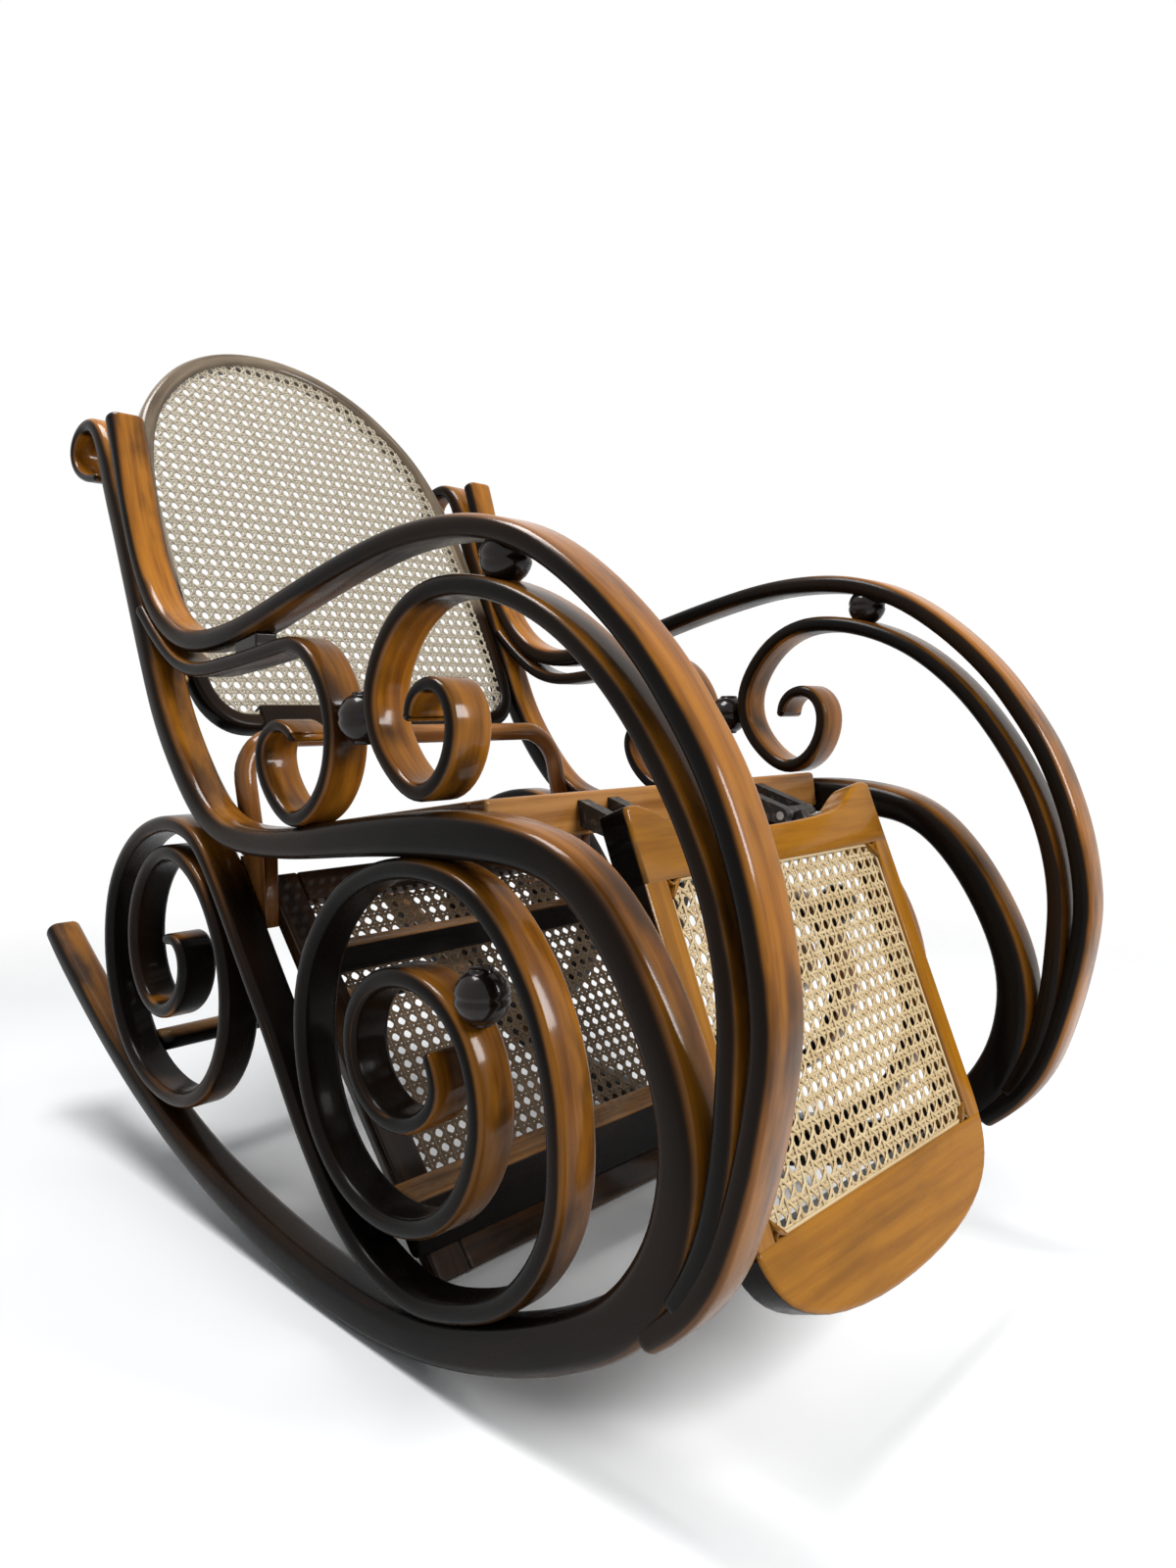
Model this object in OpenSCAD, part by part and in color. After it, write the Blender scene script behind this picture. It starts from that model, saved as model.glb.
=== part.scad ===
// Bentwood rocking chair with cane seat, arched cane back and a hinged cane leg rest.
// Axes: +X is the way the sitter faces, +Y the sitter's left, +Z up.
// The origin is on the floor, midway between the tips of the chair and between its sides.

/* [Side frames] */
// length of a side frame from runner tail to arm front
frame_l = 1111; // [800:1:1400]
// height of a side frame from floor to the curled post top
frame_h = 857; // [620:1:1080]
// distance between the inner faces of the two side frames
inner_w = 460; // [360:1:600]
// width of every bent member, measured across the chair
member_w = 40; // [24:1:60]
// thickness of the long member that is post, seat rail, front loop and runner
main_t = 31; // [20:0.5:40]
// thickness of the outer arm
outer_t = 22; // [14:0.5:26]
// thickness of the inner arm and its scroll
inner_t = 16; // [10:0.5:18]
// thickness of the scroll behind the armrest
rear_t = 14.5; // [9:0.5:18]
// thickness of the long S scroll under the seat
scroll_t = 17.5; // [11:0.5:20]

/* [Turned beads] */
// diameter of the ball between the two arms
arm_ball_d = 38; // [28:1:44]
// diameter of the ball between the two arm scrolls
scroll_ball_d = 44; // [36:1:46]
// diameter of the ball inside the front scroll
spiral_ball_d = 44; // [30:1:46]
// length of the block under the armrest
arm_block_l = 60; // [30:1:90]

/* [Back panel] */
// length of the caned back up its slope
back_h = 556; // [400:1:700]
// depth of the back rim, front to rear
back_t = 25; // [14:0.5:30]
// width of the back rim in the plane of the cane
back_rim = 20; // [12:0.5:34]
// width of the back's bottom rail
back_rail_h = 30; // [24:0.5:50]
// lean of the back from upright, in degrees
back_lean = 27.8; // [15:0.1:40]

/* [Seat] */
// length of the seat from front rail to rear rail, along its slope
seat_l = 388; // [300:1:460]
// backward fall of the seat, in degrees
seat_fall = 8.8; // [0:0.1:15]
// height of the front top edge of the seat above the floor
seat_h = 463.5; // [380:0.5:540]
// width of the side and rear seat rails
seat_rail_w = 42; // [24:1:60]
// depth of the side and rear seat rails
seat_rail_t = 22; // [14:0.5:30]
// depth of the front seat rail
seat_front_t = 36; // [24:0.5:50]
// thickness of a woven cane panel with its binding
cane_t = 3; // [1.5:0.1:5]
// openings across a cane panel, a plain grid that stands for its finer weave
cane_count = 11; // [4:1:12]

/* [Rear hoop] */
// diameter of the bent rod behind the seat
hoop_d = 22; // [12:0.5:30]
// rise of the rod above the seat
hoop_h = 98; // [60:1:140]
// bend radius of the rod's corners
hoop_r = 45; // [25:1:60]

/* [Leg rest] */
// width of the leg rest
leg_w = 354; // [260:1:420]
// length of the leg rest along its middle
leg_l = 400; // [300:1:460]
// thickness of the leg rest
leg_t = 30; // [18:0.5:36]
// width of the leg rest's upright stiles
leg_stile_w = 25; // [22:0.5:60]
// distance from the top corners down to the cane
leg_cane_top = 62; // [60:1:90]
// height of the leg rest's cane opening
leg_cane_l = 260; // [180:1:280]
// lean of the hanging leg rest, foot forward, in degrees
leg_lean = 22.2; // [5:0.1:30]
// diameter of the leg rest's hinge pins
leg_pin_d = 8; // [5:0.5:12]
// running clearance round each hinge pin
pin_gap = 0.05; // [0.02:0.01:0.1]

/* [Under-seat panel] */
// length of the sloping caned panel under the seat
under_l = 422; // [300:1:480]
// thickness of its frame
under_t = 18; // [10:0.5:24]
// width of its frame rails
under_rail_w = 34; // [20:1:50]
// slope of the panel below the horizontal, in degrees
under_slope = 49.1; // [35:0.1:60]

/* [Cross pieces] */
// depth of the lower crossbar
bar_h = 53; // [30:1:70]
// thickness of the lower crossbar
bar_t = 20; // [12:0.5:30]
// thickness of the boards that hang the sloping panel
hanger_t = 15; // [8:0.5:20]
// width of those boards
hanger_w = 50; // [30:1:80]
// side of the square stretcher
square_t = 26; // [16:0.5:34]
// diameter of the rear stretcher
stretch_d = 26; // [16:0.5:34]
// diameter of the wooden dowels that pin the cross pieces
dowel_d = 8; // [5:0.5:10]
// how far each dowel enters each side
dowel_in = 15; // [8:0.5:18]

/* [Hidden] */
$fn = 48;
// samples between two neighbouring points of a bend
bend_steps = 4;
// overrun of cuts
over = 1;
inner_y = inner_w / 2;
outer_y = inner_y + member_w;
mid_y = inner_y + member_w / 2;
// the back fills the gap between the frames, and the panel under the seat fits between its hangers
back_w = inner_w;
under_w = inner_w - 2 * hanger_t;

// Places along each bend, as [share of frame length, share of frame height, share of thickness].
// They run along the middle of the member, in the side view.
main_shares = [
  [-0.309, 0.918, 0.28], [-0.337, 0.921, 0.3], [-0.363, 0.935, 0.32], [-0.373, 0.959, 0.34],
  [-0.364, 0.98, 0.36], [-0.342, 0.992, 0.4], [-0.319, 0.988, 0.6], [-0.302, 0.961, 0.85],
  [-0.289, 0.912, 1], [-0.263, 0.838, 1], [-0.238, 0.757, 1], [-0.213, 0.68, 1],
  [-0.191, 0.614, 1], [-0.162, 0.563, 1], [-0.126, 0.511, 0.97], [-0.091, 0.484, 0.9],
  [-0.049, 0.473, 0.87], [0.023, 0.477, 0.9], [0.095, 0.491, 1], [0.167, 0.504, 1.1],
  [0.246, 0.513, 1.2], [0.302, 0.511, 1.08], [0.338, 0.502, 1], [0.367, 0.48, 1],
  [0.397, 0.436, 1], [0.421, 0.383, 1.03], [0.435, 0.337, 1.08], [0.439, 0.29, 1.16],
  [0.432, 0.235, 1.25], [0.412, 0.184, 1.32], [0.383, 0.143, 1.25], [0.332, 0.102, 1.25],
  [0.284, 0.073, 1.24], [0.234, 0.048, 1.2], [0.176, 0.028, 1.15], [0.104, 0.021, 1.32],
  [0.023, 0.026, 1.24], [-0.067, 0.045, 1.1], [-0.157, 0.069, 1], [-0.247, 0.111, 1],
  [-0.331, 0.16, 1], [-0.42, 0.226, 1], [-0.463, 0.26, 0.97], [-0.494, 0.288, 0.85]
];
outer_shares = [
  [-0.278, 0.99, 1], [-0.268, 0.953, 1], [-0.258, 0.905, 1], [-0.246, 0.854, 1],
  [-0.224, 0.786, 1], [-0.192, 0.731, 1], [-0.15, 0.7, 1], [-0.108, 0.695, 1],
  [-0.066, 0.7, 0.95], [-0.02, 0.71, 0.9], [0.068, 0.742, 0.8], [0.158, 0.768, 0.75],
  [0.203, 0.774, 0.77], [0.248, 0.774, 0.8], [0.288, 0.766, 0.8], [0.329, 0.746, 0.8],
  [0.376, 0.703, 0.8], [0.412, 0.658, 0.8], [0.432, 0.623, 0.8], [0.454, 0.582, 0.8],
  [0.47, 0.536, 0.8], [0.482, 0.491, 0.8], [0.489, 0.446, 0.8], [0.492, 0.407, 0.8],
  [0.489, 0.37, 0.8], [0.484, 0.332, 0.8], [0.477, 0.291, 0.8], [0.465, 0.242, 0.85],
  [0.453, 0.212, 0.9], [0.434, 0.18, 0.95], [0.412, 0.157, 1]
];
inner_shares = [
  [0.434, 0.192, 1.2], [0.45, 0.226, 1.2], [0.461, 0.267, 1.25], [0.468, 0.317, 1.25],
  [0.47, 0.369, 1.15], [0.471, 0.412, 1.05], [0.466, 0.457, 1], [0.456, 0.501, 1],
  [0.441, 0.543, 1], [0.422, 0.583, 1], [0.396, 0.627, 1], [0.368, 0.662, 1],
  [0.335, 0.693, 1], [0.293, 0.716, 1], [0.248, 0.726, 1], [0.212, 0.722, 1], [0.18, 0.697, 1],
  [0.159, 0.658, 1], [0.153, 0.625, 1], [0.16, 0.591, 1], [0.184, 0.557, 0.95],
  [0.212, 0.54, 0.9], [0.238, 0.562, 0.88], [0.249, 0.599, 0.85], [0.245, 0.628, 0.8],
  [0.23, 0.644, 0.75], [0.212, 0.64, 0.7], [0.202, 0.626, 0.65], [0.201, 0.609, 0.55]
];
rear_shares = [
  [-0.224, 0.743, 1], [-0.199, 0.714, 1], [-0.179, 0.695, 1], [-0.157, 0.677, 1],
  [-0.132, 0.666, 1], [-0.103, 0.663, 1], [-0.067, 0.668, 1], [-0.022, 0.674, 1],
  [0.023, 0.683, 1], [0.046, 0.686, 1], [0.064, 0.68, 1], [0.079, 0.666, 1], [0.093, 0.642, 1],
  [0.101, 0.616, 1], [0.103, 0.588, 1], [0.098, 0.557, 1], [0.084, 0.53, 1], [0.066, 0.513, 1],
  [0.045, 0.504, 1], [0.026, 0.515, 1], [0.009, 0.535, 1], [-0, 0.555, 0.95],
  [-0.002, 0.574, 0.9], [0.004, 0.589, 0.85], [0.015, 0.599, 0.8], [0.027, 0.604, 0.75],
  [0.042, 0.6, 0.7], [0.054, 0.588, 0.6]
];
scroll_shares = [
  [-0.189, 0.335, 0.6], [-0.168, 0.342, 0.75], [-0.151, 0.317, 0.9], [-0.159, 0.275, 1],
  [-0.189, 0.243, 1], [-0.225, 0.237, 1], [-0.256, 0.267, 1], [-0.268, 0.325, 1],
  [-0.252, 0.389, 1], [-0.213, 0.438, 1], [-0.168, 0.449, 1], [-0.121, 0.424, 1],
  [-0.087, 0.37, 1], [-0.07, 0.302, 1], [-0.081, 0.223, 1], [-0.119, 0.162, 1],
  [-0.162, 0.137, 1], [-0.202, 0.131, 1], [-0.261, 0.146, 1], [-0.308, 0.2, 1],
  [-0.328, 0.29, 1], [-0.315, 0.374, 1], [-0.283, 0.426, 1], [-0.241, 0.463, 1],
  [-0.193, 0.48, 1], [-0.155, 0.48, 1], [-0.124, 0.469, 1], [-0.094, 0.43, 1],
  [-0.061, 0.375, 1], [-0.03, 0.321, 1], [-0, 0.274, 1], [0.028, 0.22, 1], [0.05, 0.18, 1],
  [0.071, 0.149, 1], [0.09, 0.121, 1], [0.115, 0.095, 1], [0.146, 0.075, 1], [0.194, 0.064, 1],
  [0.245, 0.085, 1], [0.292, 0.114, 1], [0.324, 0.164, 1], [0.341, 0.214, 1],
  [0.344, 0.272, 1], [0.338, 0.337, 1], [0.315, 0.407, 1], [0.271, 0.463, 1], [0.23, 0.478, 1],
  [0.187, 0.478, 1], [0.144, 0.464, 1], [0.104, 0.436, 1], [0.068, 0.384, 1],
  [0.048, 0.317, 1], [0.052, 0.237, 1], [0.077, 0.176, 1], [0.117, 0.138, 1],
  [0.167, 0.128, 1], [0.221, 0.15, 1], [0.259, 0.205, 1], [0.272, 0.272, 1], [0.259, 0.333, 1],
  [0.228, 0.369, 1], [0.187, 0.379, 1], [0.144, 0.363, 1], [0.118, 0.317, 1],
  [0.124, 0.261, 0.95], [0.16, 0.227, 0.9], [0.205, 0.24, 0.85], [0.231, 0.279, 0.75],
  [0.217, 0.314, 0.6]
];

// Places of the beads, blocks and cross pieces in the same side view.
arm_ball_share = [0.285, 0.743];
scroll_ball_share = [0.127, 0.611];
spiral_ball_share = [0.259, 0.373];
arm_block_share = [-0.021, 0.692];
hoop_x_share = -0.095;
under_share = [-0.09, 0.411];
bar_share = [0.15, 0.108];
square_share = [0.044, 0.355];
stretch_share = [-0.283, 0.171];
back_share = [-0.166, 0.599];
front_rail_share = 0.242;
leg_top_share = 0.325;
// share of the grid's pitch that each opening in the cane takes
cane_open_share = 0.56;

// Outline of the back as [share of its width from the middle, share of its length].
back_shares = [
  [-0.36, 0.028], [-0.4, 0.028], [-0.44, 0.038], [-0.48, 0.072], [-0.495, 0.125], [-0.5, 0.22],
  [-0.5, 0.33], [-0.5, 0.45], [-0.495, 0.55], [-0.477, 0.65], [-0.45, 0.725], [-0.423, 0.776],
  [-0.384, 0.826], [-0.325, 0.883], [-0.265, 0.924], [-0.184, 0.962], [-0.09, 0.985], [0, 0.992],
  [0.09, 0.985], [0.184, 0.962], [0.265, 0.924], [0.325, 0.883], [0.384, 0.826], [0.423, 0.776],
  [0.45, 0.725], [0.477, 0.65], [0.495, 0.55], [0.5, 0.45], [0.5, 0.33], [0.5, 0.22],
  [0.495, 0.125], [0.48, 0.072], [0.44, 0.038], [0.4, 0.028], [0.36, 0.028]
];

// Top and foot edges of the leg rest as [share of its width, share of its length].
leg_top_shares = [
  [-0.5, -0.012], [-0.47, 0], [-0.42, -0.014], [-0.37, -0.037], [-0.33, -0.06], [-0.2, -0.074],
  [0, -0.08], [0.2, -0.074], [0.33, -0.06], [0.37, -0.037], [0.42, -0.014], [0.47, 0], [0.5, -0.012]
];
leg_foot_shares = [
  [0.5, -0.77], [0.496, -0.82], [0.475, -0.87], [0.435, -0.915], [0.37, -0.95], [0.28, -0.976],
  [0.15, -0.995], [0, -1], [-0.15, -0.995], [-0.28, -0.976], [-0.37, -0.95], [-0.435, -0.915],
  [-0.475, -0.87], [-0.496, -0.82], [-0.5, -0.77]
];

// ---- bends ----
function sized(s) = [s.x * frame_l, s.y * frame_h];
function chord(p, i) = max(norm(p[i + 1] - p[i]), over / 1000);
function slope(p, i) =
  i == 0 ? (p[1] - p[0]) / chord(p, 0)
  : i == len(p) - 1 ? (p[i] - p[i - 1]) / chord(p, i - 1)
  : ((p[i + 1] - p[i]) / chord(p, i) * chord(p, i - 1)
     + (p[i] - p[i - 1]) / chord(p, i - 1) * chord(p, i)) / (chord(p, i) + chord(p, i - 1));
function between(p, i, u) =
  (2 * u * u * u - 3 * u * u + 1) * p[i]
  + (u * u * u - 2 * u * u + u) * chord(p, i) * slope(p, i)
  + (3 * u * u - 2 * u * u * u) * p[i + 1]
  + (u * u * u - u * u) * chord(p, i) * slope(p, i + 1);
function bend(p, n) = [
  for (i = [0 : len(p) - 2]) for (k = [0 : n - 1]) between(p, i, k / n), p[len(p) - 1]
];
function heading(q, i) =
  let (a = q[max(i - 1, 0)], b = q[min(i + 1, len(q) - 1)], d = b - a) d / norm(d);
function shifted(q, w) = [
  for (i = [0 : len(q) - 1]) let (h = heading(q, i)) q[i] + [-h.y, h.x] * w[i]
];
function turned(a) = [for (i = [len(a) - 1 : -1 : 0]) a[i]];
function band(shares, t) =
  let (
    q = bend([for (s = shares) sized(s)], bend_steps),
    w = [for (v = bend([for (s = shares) [s.z, 0]], bend_steps)) v.x * t / 2]
  )
  concat(shifted(q, w), turned(shifted(q, -w)));
function strip(q, t) =
  let (w = [for (v = q) t / 2])
  concat(shifted(q, w), turned(shifted(q, -w)));

main_band = band(main_shares, main_t);
outer_band = band(outer_shares, outer_t);
inner_band = band(inner_shares, inner_t);
rear_band = band(rear_shares, rear_t);
scroll_band = band(scroll_shares, scroll_t);

// ---- places ----
arm_ball_at = sized(arm_ball_share);
scroll_ball_at = sized(scroll_ball_share);
spiral_ball_at = sized(spiral_ball_share);
arm_block_at = sized(arm_block_share);
under_at = sized(under_share);
bar_at = sized(bar_share);
square_at = sized(square_share);
stretch_at = sized(stretch_share);
back_at = sized(back_share);
front_rail_x = front_rail_share * frame_l;
// the rear hoop stands on the top line of the seat
hoop_x = hoop_x_share * frame_l;
hoop_at = [hoop_x, seat_h - (front_rail_x - hoop_x) * tan(seat_fall)];
leg_at = [leg_top_share * frame_l, seat_h];

// extrudes a side-view outline across the chair, from y = low over a width w
module across(low, w) {
  translate([0, low + w, 0])
    rotate([90, 0, 0])
      linear_extrude(height = w)
        children();
}
module side(left) {
  across(left ? inner_y : -outer_y, member_w)
    children();
}
// everything under the floor line, which flattens the runner where it stands
module sole() {
  translate([-frame_l, -frame_h])
    square([2 * frame_l, frame_h]);
}
// a dowel across a joint at height z in the side view, on both sides of the chair
module dowel_pair(at, reach_in = dowel_in) {
  for (s = [-1, 1])
    translate([at.x, s * inner_y, at.y])
      rotate([90, 0, 0])
        cylinder(d = dowel_d, h = 2 * reach_in, center = true);
}

// ---- side frames ----
module main_member(left) {
  color([0.16, 0.1, 0.07])
    difference() {
      side(left)
        difference() {
          polygon(main_band);
          sole();
        }
      dowel_pair(bar_at);
      dowel_pair(square_at);
      seat_dowel_places();
      back_dowel_places();
    }
}
module outer_arm(left) {
  color([0.16, 0.1, 0.07])
    side(left)
      difference() {
        polygon(outer_band);
        polygon(main_band);
        polygon(inner_band);
      }
}
module inner_arm(left) {
  color([0.16, 0.1, 0.07])
    side(left)
      difference() {
        polygon(inner_band);
        polygon(main_band);
      }
}
module rear_scroll(left) {
  color([0.16, 0.1, 0.07])
    side(left)
      difference() {
        polygon(rear_band);
        polygon(main_band);
        polygon(outer_band);
      }
}
module s_scroll(left) {
  color([0.16, 0.1, 0.07])
    difference() {
      side(left)
        difference() {
          polygon(scroll_band);
          polygon(main_band);
        }
      dowel_pair(bar_at);
      dowel_pair(square_at);
      dowel_pair(stretch_at);
    }
}
module ball_pair(at, d) {
  for (s = [-1, 1])
    translate([at.x, s * mid_y, at.y])
      rotate([0, 0, 90])
        sphere(d = d);
}
module arm_balls() {
  color([0.2, 0.12, 0.08])
    difference() {
      ball_pair(arm_ball_at, arm_ball_d);
      for (left = [false, true]) side(left) polygon(outer_band);
      for (left = [false, true]) side(left) polygon(inner_band);
    }
}
module scroll_balls() {
  color([0.2, 0.12, 0.08])
    difference() {
      ball_pair(scroll_ball_at, scroll_ball_d);
      for (left = [false, true]) side(left) polygon(rear_band);
      for (left = [false, true]) side(left) polygon(inner_band);
    }
}
module spiral_balls() {
  color([0.2, 0.12, 0.08])
    difference() {
      ball_pair(spiral_ball_at, spiral_ball_d);
      for (left = [false, true]) side(left) polygon(scroll_band);
    }
}
module arm_blocks() {
  color([0.12, 0.08, 0.06])
    difference() {
      for (left = [false, true])
        side(left)
          difference() {
            translate(arm_block_at - [arm_block_l, outer_t] / 2)
              square([arm_block_l, outer_t]);
            polygon(outer_band);
            polygon(rear_band);
          }
    }
}

// ---- cane ----
// the openings of a cane panel w across and l long, centred
module cane_grid(w, l) {
  for (i = [0 : cane_count - 1])
    for (j = [0 : cane_count - 1])
      translate([(i + 0.5 - cane_count / 2) * w / cane_count, (j + 0.5 - cane_count / 2) * l / cane_count])
        square([w, l] / cane_count * cane_open_share, center = true);
}

// ---- back ----
// the back's own frame: x out of its face, z up its slope
module back_place() {
  translate([back_at.x, 0, back_at.y])
    rotate([0, -back_lean, 0])
      children();
}
// extrudes an outline of [across, up] rearward from depth a to depth b behind the face
module back_slab(a, b) {
  translate([-b, 0, 0])
    rotate([90, 0, 90])
      linear_extrude(height = b - a)
        children();
}
back_path = bend([for (s = back_shares) [s.x * (back_w - back_rim), s.y * back_h - back_rim / 2]], bend_steps);
back_base = back_shares[0].y * back_h;
back_end = -back_shares[0].x * (back_w - back_rim);
module back_dowel_places() {
  back_place()
    for (u = [back_base * 4, back_base * 15])
      for (s = [-1, 1])
        translate([-back_t / 2, s * inner_y, u])
          rotate([90, 0, 0])
            cylinder(d = dowel_d, h = 2 * dowel_in, center = true);
}
module back_hoop() {
  color([0.55, 0.33, 0.15])
    difference() {
      back_place()
        back_slab(0, back_t)
          intersection() {
            polygon(strip(back_path, back_rim));
            translate([-back_w / 2, -back_h])
              square([back_w, 3 * back_h]);
          }
      back_dowel_places();
    }
}
module back_rail_outline() {
  translate([-back_end, back_base - back_rim])
    square([2 * back_end, back_rail_h]);
}
module back_bottom_rail() {
  color([0.55, 0.33, 0.15])
    back_place()
      back_slab(0, back_t)
        difference() {
          back_rail_outline();
          polygon(strip(back_path, back_rim));
        }
}
module back_cane() {
  color([0.86, 0.78, 0.62])
    back_place()
      back_slab(cane_t, 2 * cane_t)
        difference() {
          polygon(back_path);
          polygon(strip(back_path, back_rim));
          back_rail_outline();
          difference() {
            translate([0, back_h / 2])
              cane_grid(back_w - back_rim, back_h - back_rim);
            polygon(strip(back_path, 2 * back_rim));
            translate([-back_end, back_base - back_rim])
              square([2 * back_end, back_rail_h + back_rim / 2]);
          }
        }
}
module back_dowels() {
  color([0.7, 0.5, 0.3])
    back_dowel_places();
}

// ---- seat ----
// the seat's own frame: x forward along its top face, z out of it
module seat_place() {
  translate([front_rail_x, 0, seat_h])
    rotate([0, -seat_fall, 0])
      children();
}
seat_open_l = seat_l - seat_rail_w - seat_rail_t;
seat_open_w = inner_w - 2 * seat_rail_w;
module seat_box(x0, x1, y0, y1, t) {
  translate([x0, y0, -t])
    cube([x1 - x0, y1 - y0, t]);
}
module seat_dowel_places() {
  seat_place()
    for (x = [-seat_rail_w, -seat_l / 2, -seat_l + 2 * seat_rail_w])
      for (s = [-1, 1])
        translate([x, s * inner_y, -seat_rail_t / 2])
          rotate([90, 0, 0])
            cylinder(d = dowel_d, h = 2 * dowel_in, center = true);
}
module seat_front_rail() {
  color([0.78, 0.55, 0.27])
    difference() {
      seat_place()
        seat_box(-seat_rail_t, 0, -inner_y, inner_y, seat_front_t);
      hinge_screw_places();
    }
}
module seat_side_rails() {
  color([0.6, 0.38, 0.18])
    difference() {
      seat_place()
        for (s = [-1, 1])
          translate([0, s * (inner_y - seat_rail_w / 2), 0])
            seat_box(-seat_l, -seat_rail_t, -seat_rail_w / 2, seat_rail_w / 2, seat_rail_t);
      seat_dowel_places();
    }
}
module seat_rear_rail() {
  color([0.6, 0.38, 0.18])
    seat_place()
      seat_box(-seat_l, -seat_l + seat_rail_w, seat_rail_w - inner_y, inner_y - seat_rail_w, seat_rail_t);
}
module seat_cane() {
  color([0.86, 0.78, 0.62])
    seat_place()
      translate([(-seat_l + seat_rail_w - seat_rail_t) / 2, 0, -cane_t])
        linear_extrude(height = cane_t)
          difference() {
            square([seat_open_l, seat_open_w], center = true);
            cane_grid(seat_open_l, seat_open_w);
          }
}
module seat_dowels() {
  color([0.7, 0.5, 0.3])
    seat_dowel_places();
}

// ---- rear hoop ----
module rear_hoop() {
  leg_y = inner_y - hoop_d / 2;
  color([0.5, 0.28, 0.12])
    difference() {
      translate([hoop_at.x, 0, hoop_at.y])
        rotate([0, -atan2(hoop_d, hoop_h), 0]) {
          for (s = [-1, 1])
            translate([0, s * leg_y, -hoop_d])
              cylinder(d = hoop_d, h = hoop_h - hoop_r + hoop_d);
          for (s = [0, 1])
            mirror([0, s, 0])
              translate([0, leg_y - hoop_r, hoop_h - hoop_r])
                rotate([90, 0, 90])
                  rotate_extrude(angle = 90)
                    translate([hoop_r, 0])
                      circle(d = hoop_d);
          translate([0, 0, hoop_h])
            rotate([90, 0, 0])
              cylinder(d = hoop_d, h = 2 * (leg_y - hoop_r), center = true);
        }
      seat_place()
        translate([-2 * seat_l, -inner_w, -seat_l])
          cube([3 * seat_l, 2 * inner_w, seat_l]);
    }
}

// ---- caned panel under the seat ----
// its own frame: x down its slope, z out of its upper face
module under_place() {
  translate([under_at.x, 0, under_at.y])
    rotate([0, under_slope, 0])
      children();
}
module under_box(x0, x1, y0, y1, t) {
  translate([x0, y0, 0])
    cube([x1 - x0, y1 - y0, t]);
}
module under_dowel_places() {
  under_place()
    for (s = [-1, 1])
      translate([under_rail_w / 2, s * under_w / 2, under_t / 2])
        rotate([90, 0, 0])
          cylinder(d = dowel_d, h = 2 * hanger_t, center = true);
}
module under_top_rail() {
  color([0.6, 0.38, 0.18])
    under_place()
      under_box(0, under_rail_w, under_rail_w - under_w / 2, under_w / 2 - under_rail_w, under_t);
}
module under_foot_rail() {
  color([0.6, 0.38, 0.18])
    under_place()
      under_box(under_l - under_rail_w, under_l, under_rail_w - under_w / 2, under_w / 2 - under_rail_w, under_t);
}
module under_side_rails() {
  color([0.6, 0.38, 0.18])
    difference() {
      under_place()
        for (s = [-1, 1])
          translate([0, s * (under_w - under_rail_w) / 2, 0])
            under_box(0, under_l, -under_rail_w / 2, under_rail_w / 2, under_t);
      under_dowel_places();
    }
}
module under_cane() {
  color([0.86, 0.78, 0.62])
    under_place()
      translate([0, 0, (under_t - cane_t) / 2])
        under_box(under_rail_w, under_l - under_rail_w, under_rail_w - under_w / 2,
          under_w / 2 - under_rail_w, cane_t);
}
module panel_hangers() {
  color([0.62, 0.4, 0.22])
    difference() {
      for (s = [-1, 1])
        across(s > 0 ? under_w / 2 : -inner_y, hanger_t)
          polygon([
            [under_at.x - hanger_w / 4, seat_h],
            [under_at.x + hanger_w * 3 / 4, seat_h],
            [under_at.x + hanger_w * 3 / 4, under_at.y - hanger_w / 2],
            [under_at.x + hanger_w / 4, under_at.y - hanger_w * 3 / 4],
            [under_at.x - hanger_w / 4, under_at.y]
          ]);
      seat_place()
        translate([-2 * seat_l, -inner_w, -seat_rail_t])
          cube([3 * seat_l, 2 * inner_w, seat_l]);
      under_dowel_places();
    }
}

// ---- cross pieces ----
module lower_crossbar() {
  color([0.3, 0.18, 0.1])
    difference() {
      translate([bar_at.x - bar_t * 3 / 2, -inner_y, bar_at.y - bar_h / 2])
        cube([bar_t * 2, inner_w, bar_h]);
      under_place()
        translate([-under_l, -inner_w, -under_l])
          cube([3 * under_l, 2 * inner_w, under_l + under_t]);
      dowel_pair(bar_at);
    }
}
module square_stretcher() {
  color([0.3, 0.18, 0.1])
    difference() {
      translate([square_at.x - square_t / 2, -inner_y, square_at.y - square_t / 2])
        cube([square_t, inner_w, square_t]);
      dowel_pair(square_at);
    }
}
module rear_stretcher() {
  color([0.3, 0.18, 0.1])
    difference() {
      translate([stretch_at.x, 0, stretch_at.y])
        rotate([90, 0, 0])
          cylinder(d = stretch_d, h = inner_w, center = true);
      dowel_pair(stretch_at);
    }
}
module stretcher_dowels() {
  color([0.7, 0.5, 0.3]) {
    dowel_pair(bar_at);
    dowel_pair(square_at);
    dowel_pair(stretch_at);
    under_dowel_places();
  }
}

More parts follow.
